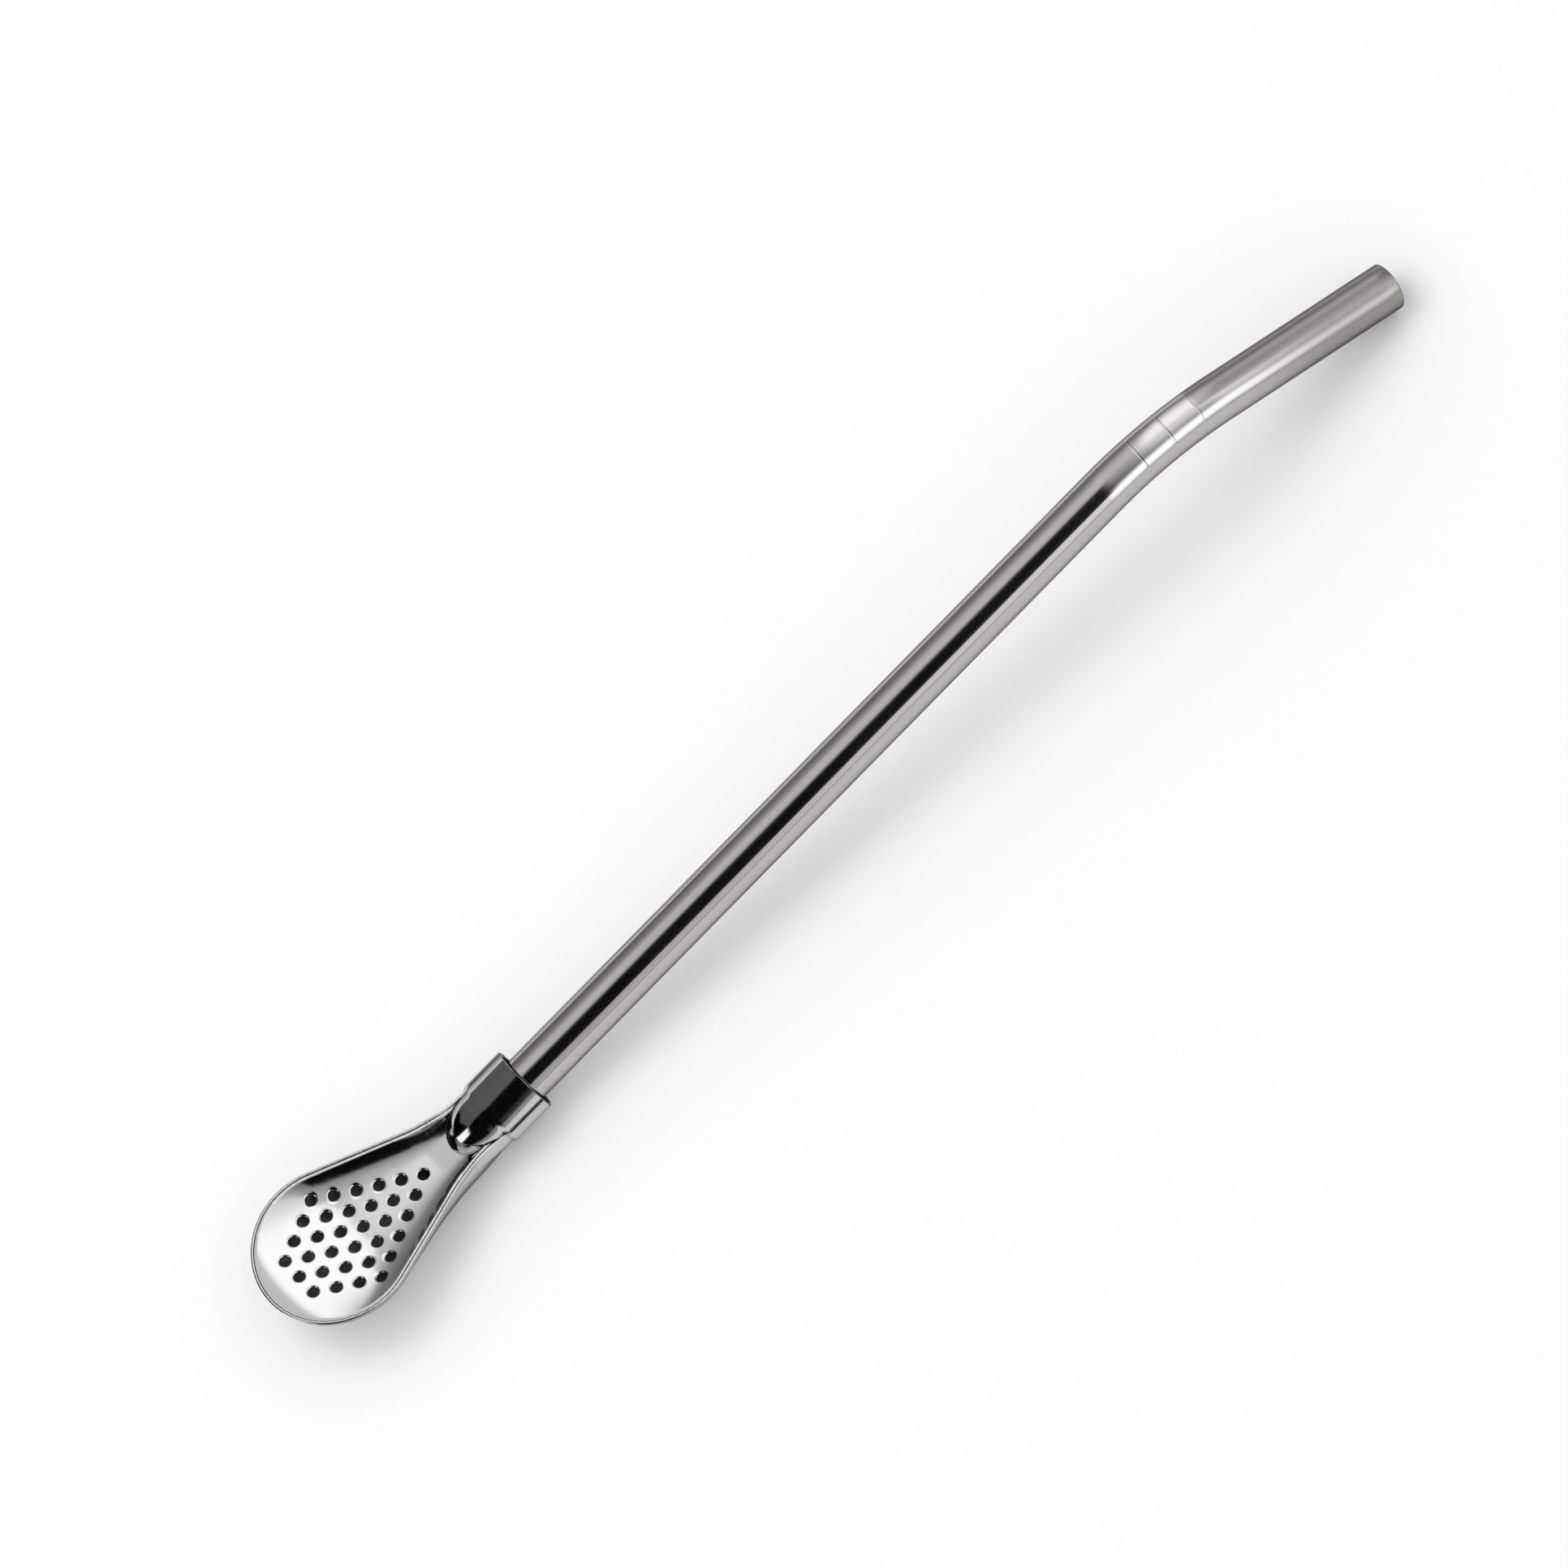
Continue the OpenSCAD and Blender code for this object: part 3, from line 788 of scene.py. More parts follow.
def spoon_material(finish):
    """Bright pressed steel with faint swirls of polish, rougher and hammered along the closed seam, and rough
    on the sheet's hidden side, where its dark colour is painted shade for the unlit inside of the closed
    spoon. Both shells share it."""

    def build(tree, shader):
        place = tree.node("ShaderNodeTexCoord", output="Object")
        edge = tree.node("ShaderNodeAttribute", {"attribute_name": "edge"}, output="Fac")
        cloud = stretched_noise(tree, place, (160.0, 160.0, 160.0), 3.0)
        fine = stretched_noise(tree, place, (1800.0, 4200.0, 4200.0), 3.0, 0.6)
        dents = stretched_noise(tree, place, (2600.0, 2600.0, 2600.0), 2.0)
        inside = tree.node("ShaderNodeAttribute", {"attribute_name": "inside"}, output="Fac")
        rough = finish.polish * 0.45 + cloud * 0.05 + fine * 0.03 + edge * 0.12 + inside * 0.35
        feed(tree, shader, "Roughness", rough)
        bright = tinted(tree, finish.spoon_steel, 0.05, cloud * 0.7 + fine * 0.3)
        # The hidden skin takes the dark inside colour, a painted shade for the unlit inside of the closed
        # spoon
        feed(tree, shader, "Base Color", blended(tree, bright, (*finish.raw_steel, 1.0), inside))
        bumped(tree, shader, 0.25, 0.00004, fine * 0.15 + dents * edge * 1.2)
        metal(shader, (0.3, 0.3, 0.3))

    return bpy.data.materials.get("pressed steel") or material("pressed steel", build)


def silicone_material(finish):
    """Milky silicone with a soft moulded surface."""

    def build(tree, shader):
        place = tree.node("ShaderNodeTexCoord", output="Object")
        cloud = stretched_noise(tree, place, (500.0, 500.0, 500.0), 3.0)
        fine = stretched_noise(tree, place, (6000.0, 6000.0, 6000.0), 2.0)
        feed(tree, shader, "Base Color", tinted(tree, finish.silicone, 0.04, cloud))
        feed(tree, shader, "Roughness", 0.42 + cloud * 0.1)
        bumped(tree, shader, 0.1, 0.00003, fine)
        shader.inputs["Subsurface Weight"].default_value = 0.2
        shader.inputs["Subsurface Radius"].default_value = (0.001, 0.001, 0.001)

    return material("milky silicone", build)


def tube_wall_mesh(sizes):
    """The tube's wall, unrolled: x is the length along the route, y the turn about it and z the radius. The
    wall is a closed loop of rows: outside from seat to mouth, inside back, and a half round at each end."""
    r, lip = sizes.tube_d / 2, sizes.tube_wall / 2
    start, bend = -sizes.seat_l + lip, sizes.straight_l
    bend_end = bend + sizes.bend_r * sizes.bend_angle
    end = bend_end + sizes.mouth_l - lip
    rings = [bend + sizes.ring_start + k * sizes.ring_pitch for k in range(sizes.ring_count)]
    over_ring = np.linspace(-RING_REACH, RING_REACH, RING_POINTS)
    near_rings = [ring + sizes.ring_width * t for ring in rings for t in over_ring]
    parts = ((start, bend, STRAIGHT_POINTS), (bend, bend_end, BEND_POINTS), (bend_end, end, MOUTH_POINTS))
    runs = np.concatenate([np.linspace(*part) for part in parts])
    clear = [x for x in runs if all(abs(x - ring) > RING_CLEAR * sizes.ring_width for ring in rings)]
    outside = sorted(set(clear) | set(near_rings))
    half = np.linspace(0, math.pi, LIP_POINTS + 2)[1:-1]
    wall = [(x, r) for x in outside]
    wall += [(end + lip * math.sin(a), r - lip + lip * math.cos(a)) for a in half]
    wall += [(x, r - 2 * lip) for x in sorted(set(runs))[::-1]]
    wall += [(start - lip * math.sin(a), r - lip - lip * math.cos(a)) for a in half]
    turns = [2 * math.pi * k / TUBE_AROUND for k in range(TUBE_AROUND)]
    points = [(x, turn, reach) for x, reach in wall for turn in turns]
    mesh = bpy.data.meshes.new("wall")
    mesh.from_pydata(points, [], ring_faces(len(wall), TUBE_AROUND))
    return mesh


def tube_tree():
    """Wraps an unrolled wall round the route of the tube and presses the rolled rings into it. Each point's
    place on the tube before it is bent is kept as the attribute straight, for the steel's grain."""
    lengths = ("Diameter", "Straight Length", "Bend Radius", "Bend Angle", "First Ring", "Ring Pitch")
    lengths += ("Last Ring", "Ring Depth", "Ring Width")
    sizes = [(label, "NodeSocketFloat") for label in lengths] + [("Steel", "NodeSocketMaterial")]
    tree, given = geometry_tree("Bent tube", sizes)
    place = tree.node("GeometryNodeInputPosition")
    run = tree.node("ShaderNodeSeparateXYZ", None, [place])
    turn = tree.output(run, "Y")
    reach = tree.output(run, "Z")
    along = run - given["Straight Length"] - given["First Ring"]
    number = (along / given["Ring Pitch"]).math("ROUND")
    number = number.math("MAXIMUM", 0.0).math("MINIMUM", given["Last Ring"])
    gap = (along - number * given["Ring Pitch"]).math("ABSOLUTE") / given["Ring Width"]
    groove = (1 - gap * gap).math("MAXIMUM", 0.0).math("SQRT")
    outside = reach.math("GREATER_THAN", given["Diameter"] * 0.5 - OUTSIDE_TOUCH)
    reach = reach - groove * given["Ring Depth"] * outside
    bent = (run - given["Straight Length"]) / given["Bend Radius"]
    bent = bent.math("MAXIMUM", 0.0).math("MINIMUM", given["Bend Angle"])
    first = run.math("MINIMUM", given["Straight Length"])
    rest = (run - given["Straight Length"] - given["Bend Radius"] * given["Bend Angle"]).math("MAXIMUM", 0.0)
    sine, cosine = bent.math("SINE"), bent.math("COSINE")
    lift = reach * turn.math("COSINE")
    x = first + given["Bend Radius"] * sine + rest * cosine + lift * sine
    z = lift * cosine - given["Bend Radius"] * (1 - cosine) - rest * sine
    y = reach * turn.math("SINE")
    straight = tree.node("ShaderNodeCombineXYZ", None, [run, y, lift])
    settings = {"data_type": "FLOAT_VECTOR", "domain": "POINT"}
    inputs = {"Geometry": given["Geometry"], "Name": "straight", "Value": straight}
    kept = tree.node("GeometryNodeStoreNamedAttribute", settings, inputs)
    moved = tree.node("ShaderNodeCombineXYZ", None, [x, y, z])
    bent_wall = tree.node("GeometryNodeSetPosition", None, {"Geometry": kept, "Position": moved})
    end_tree(tree, bent_wall, given["Steel"])
    return tree


def perforation_tree():
    """Rolls an edge into every open hole of a sheet, on points that carry the sheet's normal as 'lean'. The
    rows of the edge's mesh run over the round, then straight down the sheet and back out under it."""
    sizes = [(label, "NodeSocketFloat") for label in ("Hole Radius", "Roll Width", "Roll Drop", "Sheet")]
    sizes += [("Holes", "NodeSocketObject"), ("Steel", "NodeSocketMaterial")]
    tree, given = geometry_tree("Rolled perforations", sizes)
    rows, in_row = ROLL_POINTS + 3, HOLE_POINTS + 1
    grid = tree.node("GeometryNodeMeshGrid", None, {"Vertices X": rows, "Vertices Y": in_row})
    index = tree.node("GeometryNodeInputIndex")
    row = (index / float(in_row) + 0.001).math("FLOOR")
    turn = (index - row * float(in_row)) * (2 * math.pi / HOLE_POINTS)
    roll = (row / float(ROLL_POINTS)).math("MINIMUM", 1.0) * (math.pi / 2)
    below = row.math("GREATER_THAN", ROLL_POINTS + 0.5)
    under = row.math("GREATER_THAN", ROLL_POINTS + 1.5)
    r = given["Hole Radius"] + given["Roll Width"] * (1 - roll.math("SINE") + under)
    z = given["Roll Drop"] * (roll.math("COSINE") - 1) * (1 - below) - given["Sheet"] * below
    place = tree.node("ShaderNodeCombineXYZ", None, [r * turn.math("COSINE"), r * turn.math("SINE"), z])
    rim = tree.node("GeometryNodeSetPosition", None, {"Geometry": grid, "Position": place})
    rim = tree.node("GeometryNodeMergeByDistance", None, {"Geometry": rim, "Distance": ROLL_TOUCH})
    inputs = {"Geometry": rim, "Name": "loop", "Value": 1.0}
    rim = tree.node("GeometryNodeStoreNamedAttribute", {"data_type": "FLOAT", "domain": "POINT"}, inputs)
    points = tree.node("GeometryNodeObjectInfo", None, {"Object": given["Holes"]}, output="Geometry")
    points = tree.node("GeometryNodeMeshToPoints", None, {"Mesh": points})
    lean = tree.node("GeometryNodeInputNamedAttribute", {"data_type": "FLOAT_VECTOR"}, {"Name": "lean"})
    turned = tree.node("FunctionNodeAlignRotationToVector", {"axis": "Z"}, {"Vector": lean})
    inputs = {"Points": points, "Instance": rim, "Rotation": turned}
    rims = tree.node("GeometryNodeInstanceOnPoints", None, inputs)
    rims = tree.node("GeometryNodeRealizeInstances", None, [rims])
    whole = tree.join(given["Geometry"], rims)
    loop = tree.node("GeometryNodeInputNamedAttribute", {"data_type": "FLOAT"}, {"Name": "loop"})
    on_loop = loop.math("GREATER_THAN", 0.5)
    inputs = {"Geometry": whole, "Selection": on_loop, "Distance": LOOP_TOUCH}
    whole = tree.node("GeometryNodeMergeByDistance", None, inputs)
    end_tree(tree, whole, given["Steel"])
    return tree


def waviness(at, scale, seed):
    return noise.noise(Vector(at) / scale + Vector((seed, 0, 0)))


def hole_places(spoon, holes):
    """Middle and normal of each perforation, in rows of one, two, three and so on to the longest row, then
    fewer again as the bowl closes."""
    places = []
    start = spoon.v.spoon_l - holes.hole_tip
    row_pitch = holes.hole_pitch * math.sin(math.pi / 3)
    for row in range(holes.hole_rows + holes.closing_rows):
        in_row = min(row + 1, 2 * holes.hole_rows - 1 - row)
        u = start + row * row_pitch * math.cos(spoon.v.rim_tilt)
        for k in range(in_row):
            y = (k - (in_row - 1) / 2) * holes.hole_pitch
            z = float(spoon.face_z(u, y))
            step = SLOPE_STEP
            slope_u = float(spoon.face_z(u + step, y) - spoon.face_z(u - step, y)) / (2 * step)
            slope_y = float(spoon.face_z(u, y + step) - spoon.face_z(u, y - step)) / (2 * step)
            places.append((Vector((-u, y, z)), Vector((slope_u, -slope_y, 1)).normalized()))
    return places


def loop_edges(first, count):
    return [(first + k, first + (k + 1) % count) for k in range(count)]


def dish_loops(spoon, rows):
    """Loops in plan inside the dish's edge, from the grid's right end round the tip to its left end."""
    both = mirrored(rows)
    foot = both[:, 2:] * np.array([1, 0])
    away = both[:, :2] - foot
    out = np.linalg.norm(away, axis=1)
    edge = spoon.edge_share(both[:, 0], out)
    return [foot + away * (edge - inset / out)[:, None] for inset in DISH_INSETS]


def hole_rings(holes, places):
    """Rings in plan round each perforation, from its open loop outwards."""
    radii = [holes.hole_d / 2 + holes.roll_w + extra for extra in HOLE_COLLARS]
    rings = []
    for centre, normal in places:
        turned = Vector((0, 0, 1)).rotation_difference(normal)
        for r in radii:
            for k in range(HOLE_POINTS):
                a = 2 * math.pi * k / HOLE_POINTS
                p = centre + turned @ Vector((r * math.cos(a), r * math.sin(a), 0))
                rings.append((-p.x, p.y))
    return rings


def in_dish(spoon, line, at, edge_gap, line_gap):
    """Which points in plan lie in the dish, edge_gap inside its edge and line_gap past the grid's end."""
    foot, out, at_u = spoon.reach(at[:, 0], at[:, 1])
    to_edge = out * spoon.edge_share(at_u, out) - np.hypot(at[:, 0] - foot, at[:, 1])
    line_u = np.interp(np.abs(at[:, 1]), line[::-1, 1], -line[::-1, 0])
    return (to_edge > edge_gap) & (at[:, 0] > line_u + line_gap)


def dish_lattice(spoon, line, holes, places):
    """An even lattice in plan, clear of the dish's edge, of the grid's end and of the perforations' rings."""
    lattice = []
    for i, u in enumerate(np.arange(spoon.neck_u, spoon.v.spoon_l, LATTICE_STEP * math.sin(math.pi / 3))):
        for y in np.arange(-spoon.tip_r, spoon.tip_r, LATTICE_STEP) + (i % 2) * LATTICE_STEP / 2:
            lattice.append((u, y))
    lattice = np.array(lattice)
    clear = in_dish(spoon, line, lattice, DISH_INSETS[-1] + LATTICE_GAP, LATTICE_GAP)
    centres = np.array([(-c.x, c.y) for c, _ in places])
    far = np.linalg.norm(lattice[:, None, :] - centres[None, :, :], axis=2).min(1)
    ring_r = holes.hole_d / 2 + holes.roll_w + HOLE_COLLARS[-1]
    return lattice[clear & (far > ring_r + HOLE_GAP)]


def face_skin(spoon, holes, places):
    """Top skin of the filter face: a grid over the half round and the neck, and a triangulated dish with an
    open round loop for every perforation. Returns its points, its faces and the points of those loops."""
    rows = spoon.stations(FACE_STEP)
    split = int(np.argmin(np.abs(rows[:, 0] - GRID_END)))
    right = spoon.face_rows(rows[: split + 1], GRID_INSETS, GRID_COLUMNS)
    neck = np.concatenate([right, right[:, -2::-1] * MIRROR], 1)
    line, border = right[-1], neck[-1]

    # The dish is triangulated in plan, inside its outline and with each perforation's loop kept as edges
    loops = dish_loops(spoon, rows[split + 1 :])
    plan = [(-p[0], p[1]) for p in border] + [tuple(p) for p in loops[0][::-1]]
    edges = loop_edges(0, len(plan))
    plan += [tuple(p) for loop in loops[1:] for p in loop]
    hole_of = {}
    for number in range(len(places)):
        first = len(plan) + number * HOLE_POINTS * len(HOLE_COLLARS)
        edges += loop_edges(first, HOLE_POINTS)
        hole_of.update({first + k: number for k in range(HOLE_POINTS)})
    plan += hole_rings(holes, places)
    plan += [tuple(p) for p in dish_lattice(spoon, line, holes, places)]
    made = delaunay_2d_cdt([Vector(p) for p in plan], edges, [], 0, PLAN_TOUCH)

    # Its points are lifted to the dish, and the triangles outside it and over the perforations are left out
    skin = np.array([(-p[0], p[1], 0.0) for p in made[0]])
    skin[:, 2] = spoon.face_z(-skin[:, 0], skin[:, 1])
    origin = [min(ids) if ids else -1 for ids in made[3]]
    for k, o in enumerate(origin):
        if 0 <= o < len(border):
            skin[k] = border[o]
    triangles = np.array(made[2])
    hole = np.array([hole_of.get(o, -1) for o in origin])
    tags = hole[triangles]
    in_hole = (tags[:, 0] >= 0) & (tags.min(1) == tags.max(1))
    middle = skin[triangles].mean(1)[:, :2] * np.array([-1, 1])
    kept = triangles[in_dish(spoon, line, middle, 0, 0) & ~in_hole]
    points = [tuple(p) for row in neck for p in row]
    base = len(points)
    points += [tuple(p) for p in skin]
    faces = grid_faces(neck) + [tuple(int(k) + base for k in t) for t in kept]
    return points, faces, [tuple(p) for p in skin[hole >= 0]]


def wavy_edge(mesh, spoon, seed):
    """Gives the closed seam its fine hammered look: the sheet's edge and what is next to it move a little.
    How far a point takes part is kept as the attribute edge, from 0 to 1, for the steel's finish."""
    start = spoon.neck_u + SEAM_LEAD
    weights = np.zeros(len(mesh.vertices), np.float32)
    for k, v in enumerate(mesh.vertices):
        u, y = -v.co.x, v.co.y
        if u < start:
            continue
        foot, out, _ = spoon.reach(np.array([u]), np.array([y]))
        inset = out[0] - math.hypot(u - foot[0], y)
        depth = float(spoon.rim_z(u)) - v.co.z
        near = max(0.0, 1 - abs(inset - SEAM_INSET) / SEAM_HALF_W) * max(0.0, 1 - depth / SEAM_H)
        near = min(1.0, SEAM_FULLNESS * near) * float(ramp(u, start, start + SEAM_FADE_L))
        if near <= 0:
            continue
        weights[k] = near
        fine = waviness(v.co, FINE_WAVE_L, seed)
        broad = waviness(v.co, BROAD_WAVE_L, seed + BROAD_SEED)
        v.co.z += near * (FINE_WAVE_H * fine + BROAD_WAVE_H * broad)
    point_values(mesh, "edge", weights)


def seal_profile(sizes, bore_r):
    """Section of the seal ring as [x, radius]: along the grooved outside and back along the bore."""
    start, end = -sizes.collar_l + sizes.running_gap, -sizes.seal_inset

    def end_round(t):
        return SEAL_END_T * max(0.0, 1 - min(t, 1 - t) / SEAL_END_L) ** 2 * sizes.seal_t

    profile = []
    for t in np.linspace(0, 1, SEAL_OUTSIDE_POINTS):
        groove = SEAL_GROOVE * (0.5 - 0.5 * math.cos(2 * math.pi * SEAL_RIBS * t))
        profile.append((mix(start, end, t), bore_r + sizes.seal_t - end_round(t) - groove))
    for t in np.linspace(1, 0, SEAL_BORE_POINTS):
        profile.append((mix(start, end, t), bore_r + end_round(t)))
    return profile


class STRAW_OT_tube(bpy.types.Operator):
    """Make the bent drinking tube with its rolled lips and rings"""

    bl_idname = "straw.tube"
    bl_label = "Drinking Tube"

    def execute(self, context):
        sizes = in_mm(context.scene.straw_tube)
        finish = in_mm(context.scene.straw_finish)
        values = {
            "Diameter": sizes.tube_d,
            "Straight Length": sizes.straight_l,
            "Bend Radius": sizes.bend_r,
            "Bend Angle": sizes.bend_angle,
            "First Ring": sizes.ring_start,
            "Ring Pitch": sizes.ring_pitch,
            "Last Ring": float(sizes.ring_count - 1),
            "Ring Depth": sizes.ring_depth,
            "Ring Width": sizes.ring_width,
            "Steel": tube_material(finish, sizes),
        }
        tube = grown("drinking_tube", tube_wall_mesh(sizes), tube_tree(), values)
        laid(tube, "tube", "straw_tube")
        return {"FINISHED"}


class STRAW_OT_face(bpy.types.Operator):
    """Make the perforated front shell of the strainer"""

    bl_idname = "straw.face"
    bl_label = "Filter Face"

    def execute(self, context):
        sizes = in_mm(context.scene.straw_spoon)
        holes = in_mm(context.scene.straw_holes)
        spoon = Spoon(sizes, in_mm(context.scene.straw_tube))
        places = hole_places(spoon, holes)
        points, faces, loops = face_skin(spoon, holes, places)
        mesh = sheet_mesh(points, faces, sizes.sheet, FACE_BULGE, 1, loops)
        wavy_edge(mesh, spoon, FACE_SEED)
        lattice = bpy.data.meshes.new("hole places")
        lattice.from_pydata([tuple(p) for p, _ in places], [], [])
        lean = lattice.attributes.new("lean", "FLOAT_VECTOR", "POINT")
        lean.data.foreach_set("vector", [c for _, n in places for c in n])
        marks = linked("hole_places", lattice)
        values = {
            "Hole Radius": holes.hole_d / 2,
            "Roll Width": holes.roll_w,
            "Roll Drop": holes.roll_drop,
            "Sheet": sizes.sheet,
            "Holes": marks,
            "Steel": spoon_material(in_mm(context.scene.straw_finish)),
        }
        face = grown("perforated_face", mesh, perforation_tree(), values)
        bpy.data.objects.remove(marks)
        laid(face, "head", "filter_face")
        return {"FINISHED"}


class STRAW_OT_back(bpy.types.Operator):
    """Make the rear shell of the strainer with its socket lap and keel"""

    bl_idname = "straw.back"
    bl_label = "Bowl Back"

    def execute(self, context):
        sizes = in_mm(context.scene.straw_spoon)
        spoon = Spoon(sizes, in_mm(context.scene.straw_tube))
        grid = mirrored(spoon.back_rows(spoon.stations(BACK_STEP), BACK_COLUMNS))
        points = [tuple(p) for row in grid for p in row]
        mesh = sheet_mesh(points, grid_faces(grid), sizes.sheet, BACK_BULGE, -1)
        wavy_edge(mesh, spoon, BACK_SEED)
        mesh.materials.append(spoon_material(in_mm(context.scene.straw_finish)))
        laid(linked("bowl_shell", mesh), "head", "bowl_back")
        return {"FINISHED"}


class STRAW_OT_seal(bpy.types.Operator):
    """Make the silicone ring that holds the tube in the socket"""

    bl_idname = "straw.seal"
    bl_label = "Seal Ring"

    def execute(self, context):
        sizes = in_mm(context.scene.straw_spoon)
        profile = seal_profile(sizes, in_mm(context.scene.straw_tube).tube_d / 2 + sizes.running_gap)
        turns = [2 * math.pi * k / SEAL_AROUND for k in range(SEAL_AROUND)]
        points = [(x, r * math.cos(a), r * math.sin(a)) for x, r in profile for a in turns]
        mesh = bpy.data.meshes.new("seal")
        mesh.from_pydata(points, [], ring_faces(len(profile), SEAL_AROUND))
        mesh.materials.append(silicone_material(in_mm(context.scene.straw_finish)))
        laid(linked("silicone_seal", mesh), "seal", "seal_ring")
        return {"FINISHED"}


def sight_lines(studio):
    """Directions to the picture's right, up, to the viewer and across the tube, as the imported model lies."""
    tilt, roll, slant = studio.tilt, studio.roll, studio.slant
    across = SIDE * math.cos(roll) + FACE_UP * math.sin(roll)
    out = FACE_UP * math.cos(roll) - SIDE * math.sin(roll)
    along = AXIS * math.cos(tilt) - out * math.sin(tilt)
    viewer = AXIS * math.sin(tilt) + out * math.cos(tilt)
    right = along * math.cos(slant) - across * math.sin(slant)
    up = along * math.sin(slant) + across * math.cos(slant)
    return right, up, viewer, across


def studio_sky(studio):
    """The world: even white light for the floor and the camera, and a dark studio with soft lights for what
    the steel reflects. Its angles are in degrees: round_tube turns about the tube, from the viewer to the
    picture's upper left, and along rises from the tube's cross section towards its mouth."""
    _, _, viewer, across = sight_lines(studio)
    world = bpy.data.worlds.new("studio")
    bpy.context.scene.world = world
    world.use_nodes = True
    world.node_tree.nodes.clear()
    tree = Tree(world.node_tree)
    direction = tree.node("ShaderNodeTexCoord", output="Generated")

    def towards(vector):
        inputs = [direction, tuple(vector)]
        return tree.node("ShaderNodeVectorMath", {"operation": "DOT_PRODUCT"}, inputs, output="Value")

    side = towards(across)
    front = towards((viewer - AXIS * viewer.dot(AXIS)).normalized())
    round_tube = side.math("ARCTAN2", front) * (180 / math.pi)
    along = towards(AXIS).math("ARCSINE") * (180 / math.pi)

    # Behind the spoon, seen in the dish and the nose: a dim upper wall, a low wall, a lamp and a window
    wall_end = -37 + 17 * round_tube.ramp(70, 100)
    upper_wall = 0.13 * round_tube.ramp(24, 30) * (along - wall_end).ramp(-3, 3)
    low_wall = 0.38 * (1 - round_tube.ramp(-56, -44))
    lamp = 0.8 * along.ramp(-9, -5) * round_tube.band(26, 62, 12)
    window = side.band(0.05, 0.38, 0.03) * (1 - front.ramp(0.62, 0.76)) * (1 - along.ramp(-40, -34))
    behind = upper_wall + low_wall + lamp + window * 1.7

    # Over the tube, seen along it: a long box on each side of a black flag, which pales towards the bend
    fade = mix(round_tube.ramp(50, 102), round_tube.ramp(58, 122), along.ramp(4, 16))
    upper_box = round_tube.ramp(-14, 46) * (1 - fade) * (0.6 + 0.87 * along.ramp(11.5, 18.5))
    lower_box = round_tube.ramp(-72, -46) * (1 - round_tube.ramp(-36, -14)) * 1.8
    lit_flag = 0.5 * along.ramp(1, 27) * round_tube.band(-20, 15, 15)
    over = 0.3 + upper_box + lower_box + lit_flag

    # Past the mouth, seen in the bend and the satin end: a broad low glow with a strip in it, darker beneath
    glow = 0.35 + 1.0 * (1 - round_tube.ramp(-6, 84)) + 0.7 * round_tube.band(-50, -32, 12)
    past = glow * (0.3 + 0.7 * round_tube.ramp(-78, -54))

    # Where the lights behind the spoon give way to those over the tube, later within the black flag
    in_flag = round_tube.band(-31, 27, 3)
    rise = mix(along.ramp(-6.5, -2), along.ramp(-9, -2), round_tube.ramp(0, 20))
    rise = mix(rise, along.ramp(-3, 1.5), in_flag)
    lights = mix(behind, mix(over, past, along.ramp(37, 46)), rise)
    reflected = tree.node("ShaderNodeLightPath", output="Is Glossy Ray")
    seen = tree.output(reflected, "Is Camera Ray")
    even = seen + (1 - seen) * studio.sky
    strength = even * (1 - reflected) + lights * reflected
    white = {"Color": (1.0, 1.0, 1.0, 1.0), "Strength": strength}
    tree.node("ShaderNodeOutputWorld", None, [tree.node("ShaderNodeBackground", None, white)])


def floor_material(studio):
    """Pale matt board with a barely visible grain."""

    def build(tree, shader):
        place = tree.node("ShaderNodeTexCoord", output="Object")
        grain = stretched_noise(tree, place, (900.0, 900.0, 900.0), 2.0)
        feed(tree, shader, "Base Color", tinted(tree, studio.floor, 0.01, grain))
        shader.inputs["Roughness"].default_value = 1.0
        shader.inputs["Specular IOR Level"].default_value = 0.0

    return material("pale board", build)


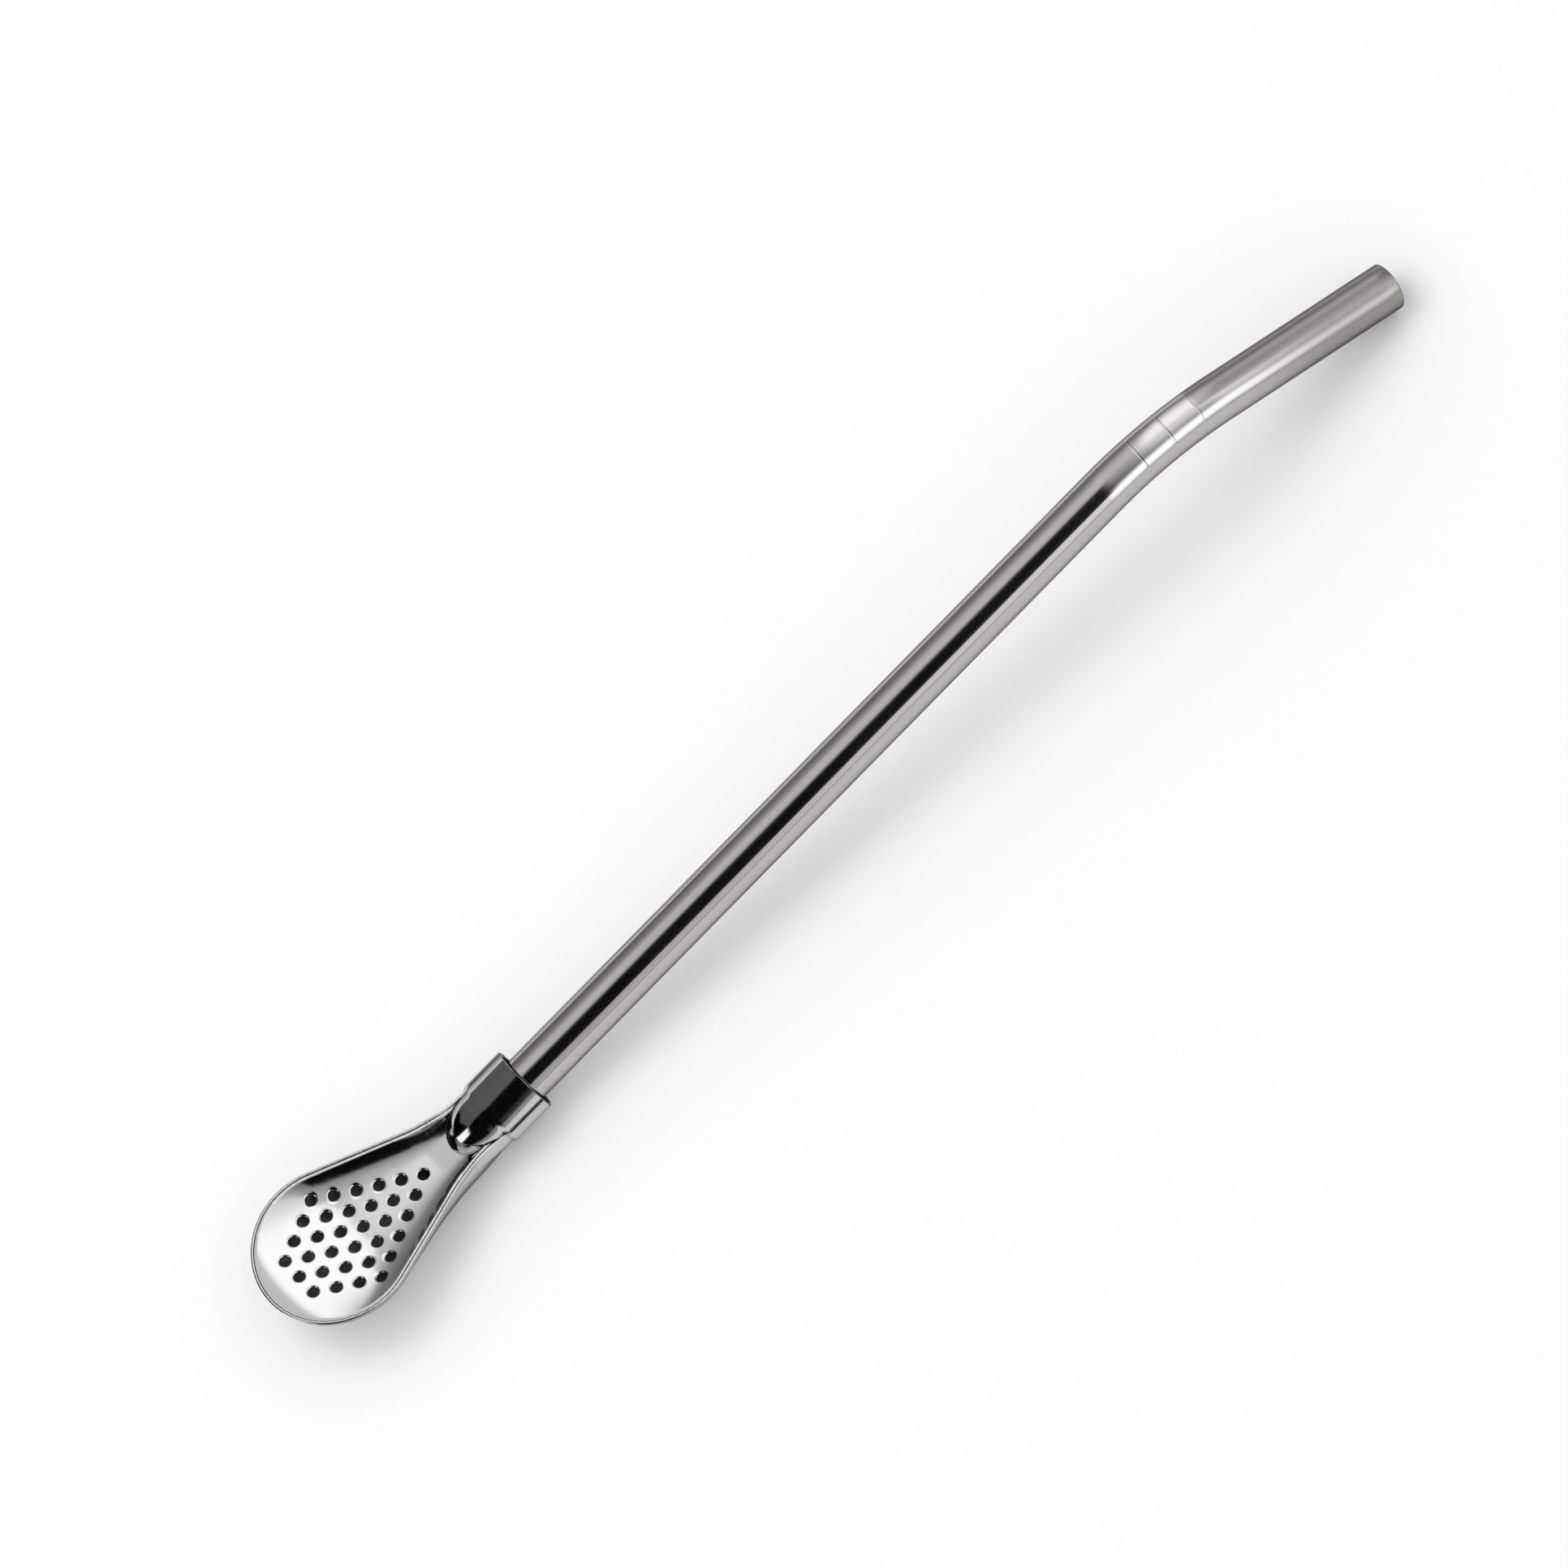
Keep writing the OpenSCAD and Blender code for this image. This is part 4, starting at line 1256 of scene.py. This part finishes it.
class STRAW_OT_stage(bpy.types.Operator):
    """Make the floor, the light and the camera"""

    bl_idname = "straw.stage"
    bl_label = "Studio"

    def execute(self, context):
        scene = context.scene
        studio = in_mm(scene.straw_studio)
        right, up, viewer, _ = sight_lines(studio)
        mesh = bpy.data.meshes.new("floor")
        corners = [(FLOOR_HALF * x, FLOOR_HALF * y, 0) for x, y in ((-1, -1), (1, -1), (1, 1), (-1, 1))]
        mesh.from_pydata(corners, [], [(0, 1, 2, 3)])
        mesh.materials.append(floor_material(studio))
        floor = linked("floor", mesh)
        studio_sky(studio)
        lamp = bpy.data.lights.new("overhead lamp", "AREA")
        lamp.shape = "DISK"
        lamp.size = LAMP_SIZE
        lamp.energy = studio.lamp
        overhead = linked("overhead_lamp", lamp)
        overhead.visible_glossy = False
        overhead.location = LAMP_PLACE
        overhead.rotation_euler = (-overhead.location).to_track_quat("-Z", "Y").to_euler()
        camera = bpy.data.cameras.new("camera")
        camera.lens = studio.lens
        camera.sensor_width = SENSOR_MM
        distance = studio.view_w * MM * studio.lens / SENSOR_MM
        camera.clip_start = distance / 10
        camera.clip_end = distance * 4
        eye = linked("camera", camera)
        target = MOUTH + (right * studio.reach_right + up * studio.reach_up) * MM
        turned = Matrix((right, up, viewer)).transposed().to_4x4()
        eye.matrix_world = Matrix.Translation(target + viewer * distance) @ turned
        scene.camera = eye
        scene.view_settings.view_transform = "Standard"
        return {"FINISHED"}


class STRAW_PT_panel(bpy.types.Panel):
    """The straw's pieces in the sidebar"""

    bl_idname = "STRAW_PT_panel"
    bl_label = "Spoon Straw"
    bl_space_type = "VIEW_3D"
    bl_region_type = "UI"
    bl_category = "Straw"

    def draw(self, context):
        for operator in OPERATORS:
            self.layout.operator(operator.bl_idname)
        for name in GROUPS:
            group = getattr(context.scene, name)
            for key in group.__annotations__:
                self.layout.prop(group, key)


OPERATORS = (STRAW_OT_stage, STRAW_OT_tube, STRAW_OT_face, STRAW_OT_back, STRAW_OT_seal)
GROUPS = {
    "straw_tube": StrawTubeSizes,
    "straw_spoon": StrawSpoonSizes,
    "straw_holes": StrawHoleSizes,
    "straw_finish": StrawFinishes,
    "straw_studio": StrawStudio,
}


def register():
    for group in GROUPS.values():
        bpy.utils.register_class(group)
    for name, group in GROUPS.items():
        setattr(bpy.types.Scene, name, PointerProperty(type=group))
    for operator in OPERATORS:
        bpy.utils.register_class(operator)
    bpy.utils.register_class(STRAW_PT_panel)


def unregister():
    bpy.utils.unregister_class(STRAW_PT_panel)
    for operator in reversed(OPERATORS):
        bpy.utils.unregister_class(operator)
    for name in GROUPS:
        delattr(bpy.types.Scene, name)
    for group in reversed(GROUPS.values()):
        bpy.utils.unregister_class(group)


def main():
    register()
    bpy.ops.straw.stage()
    bpy.ops.straw.tube()
    bpy.ops.straw.face()
    bpy.ops.straw.back()
    bpy.ops.straw.seal()


if __name__ == "__main__":
    main()
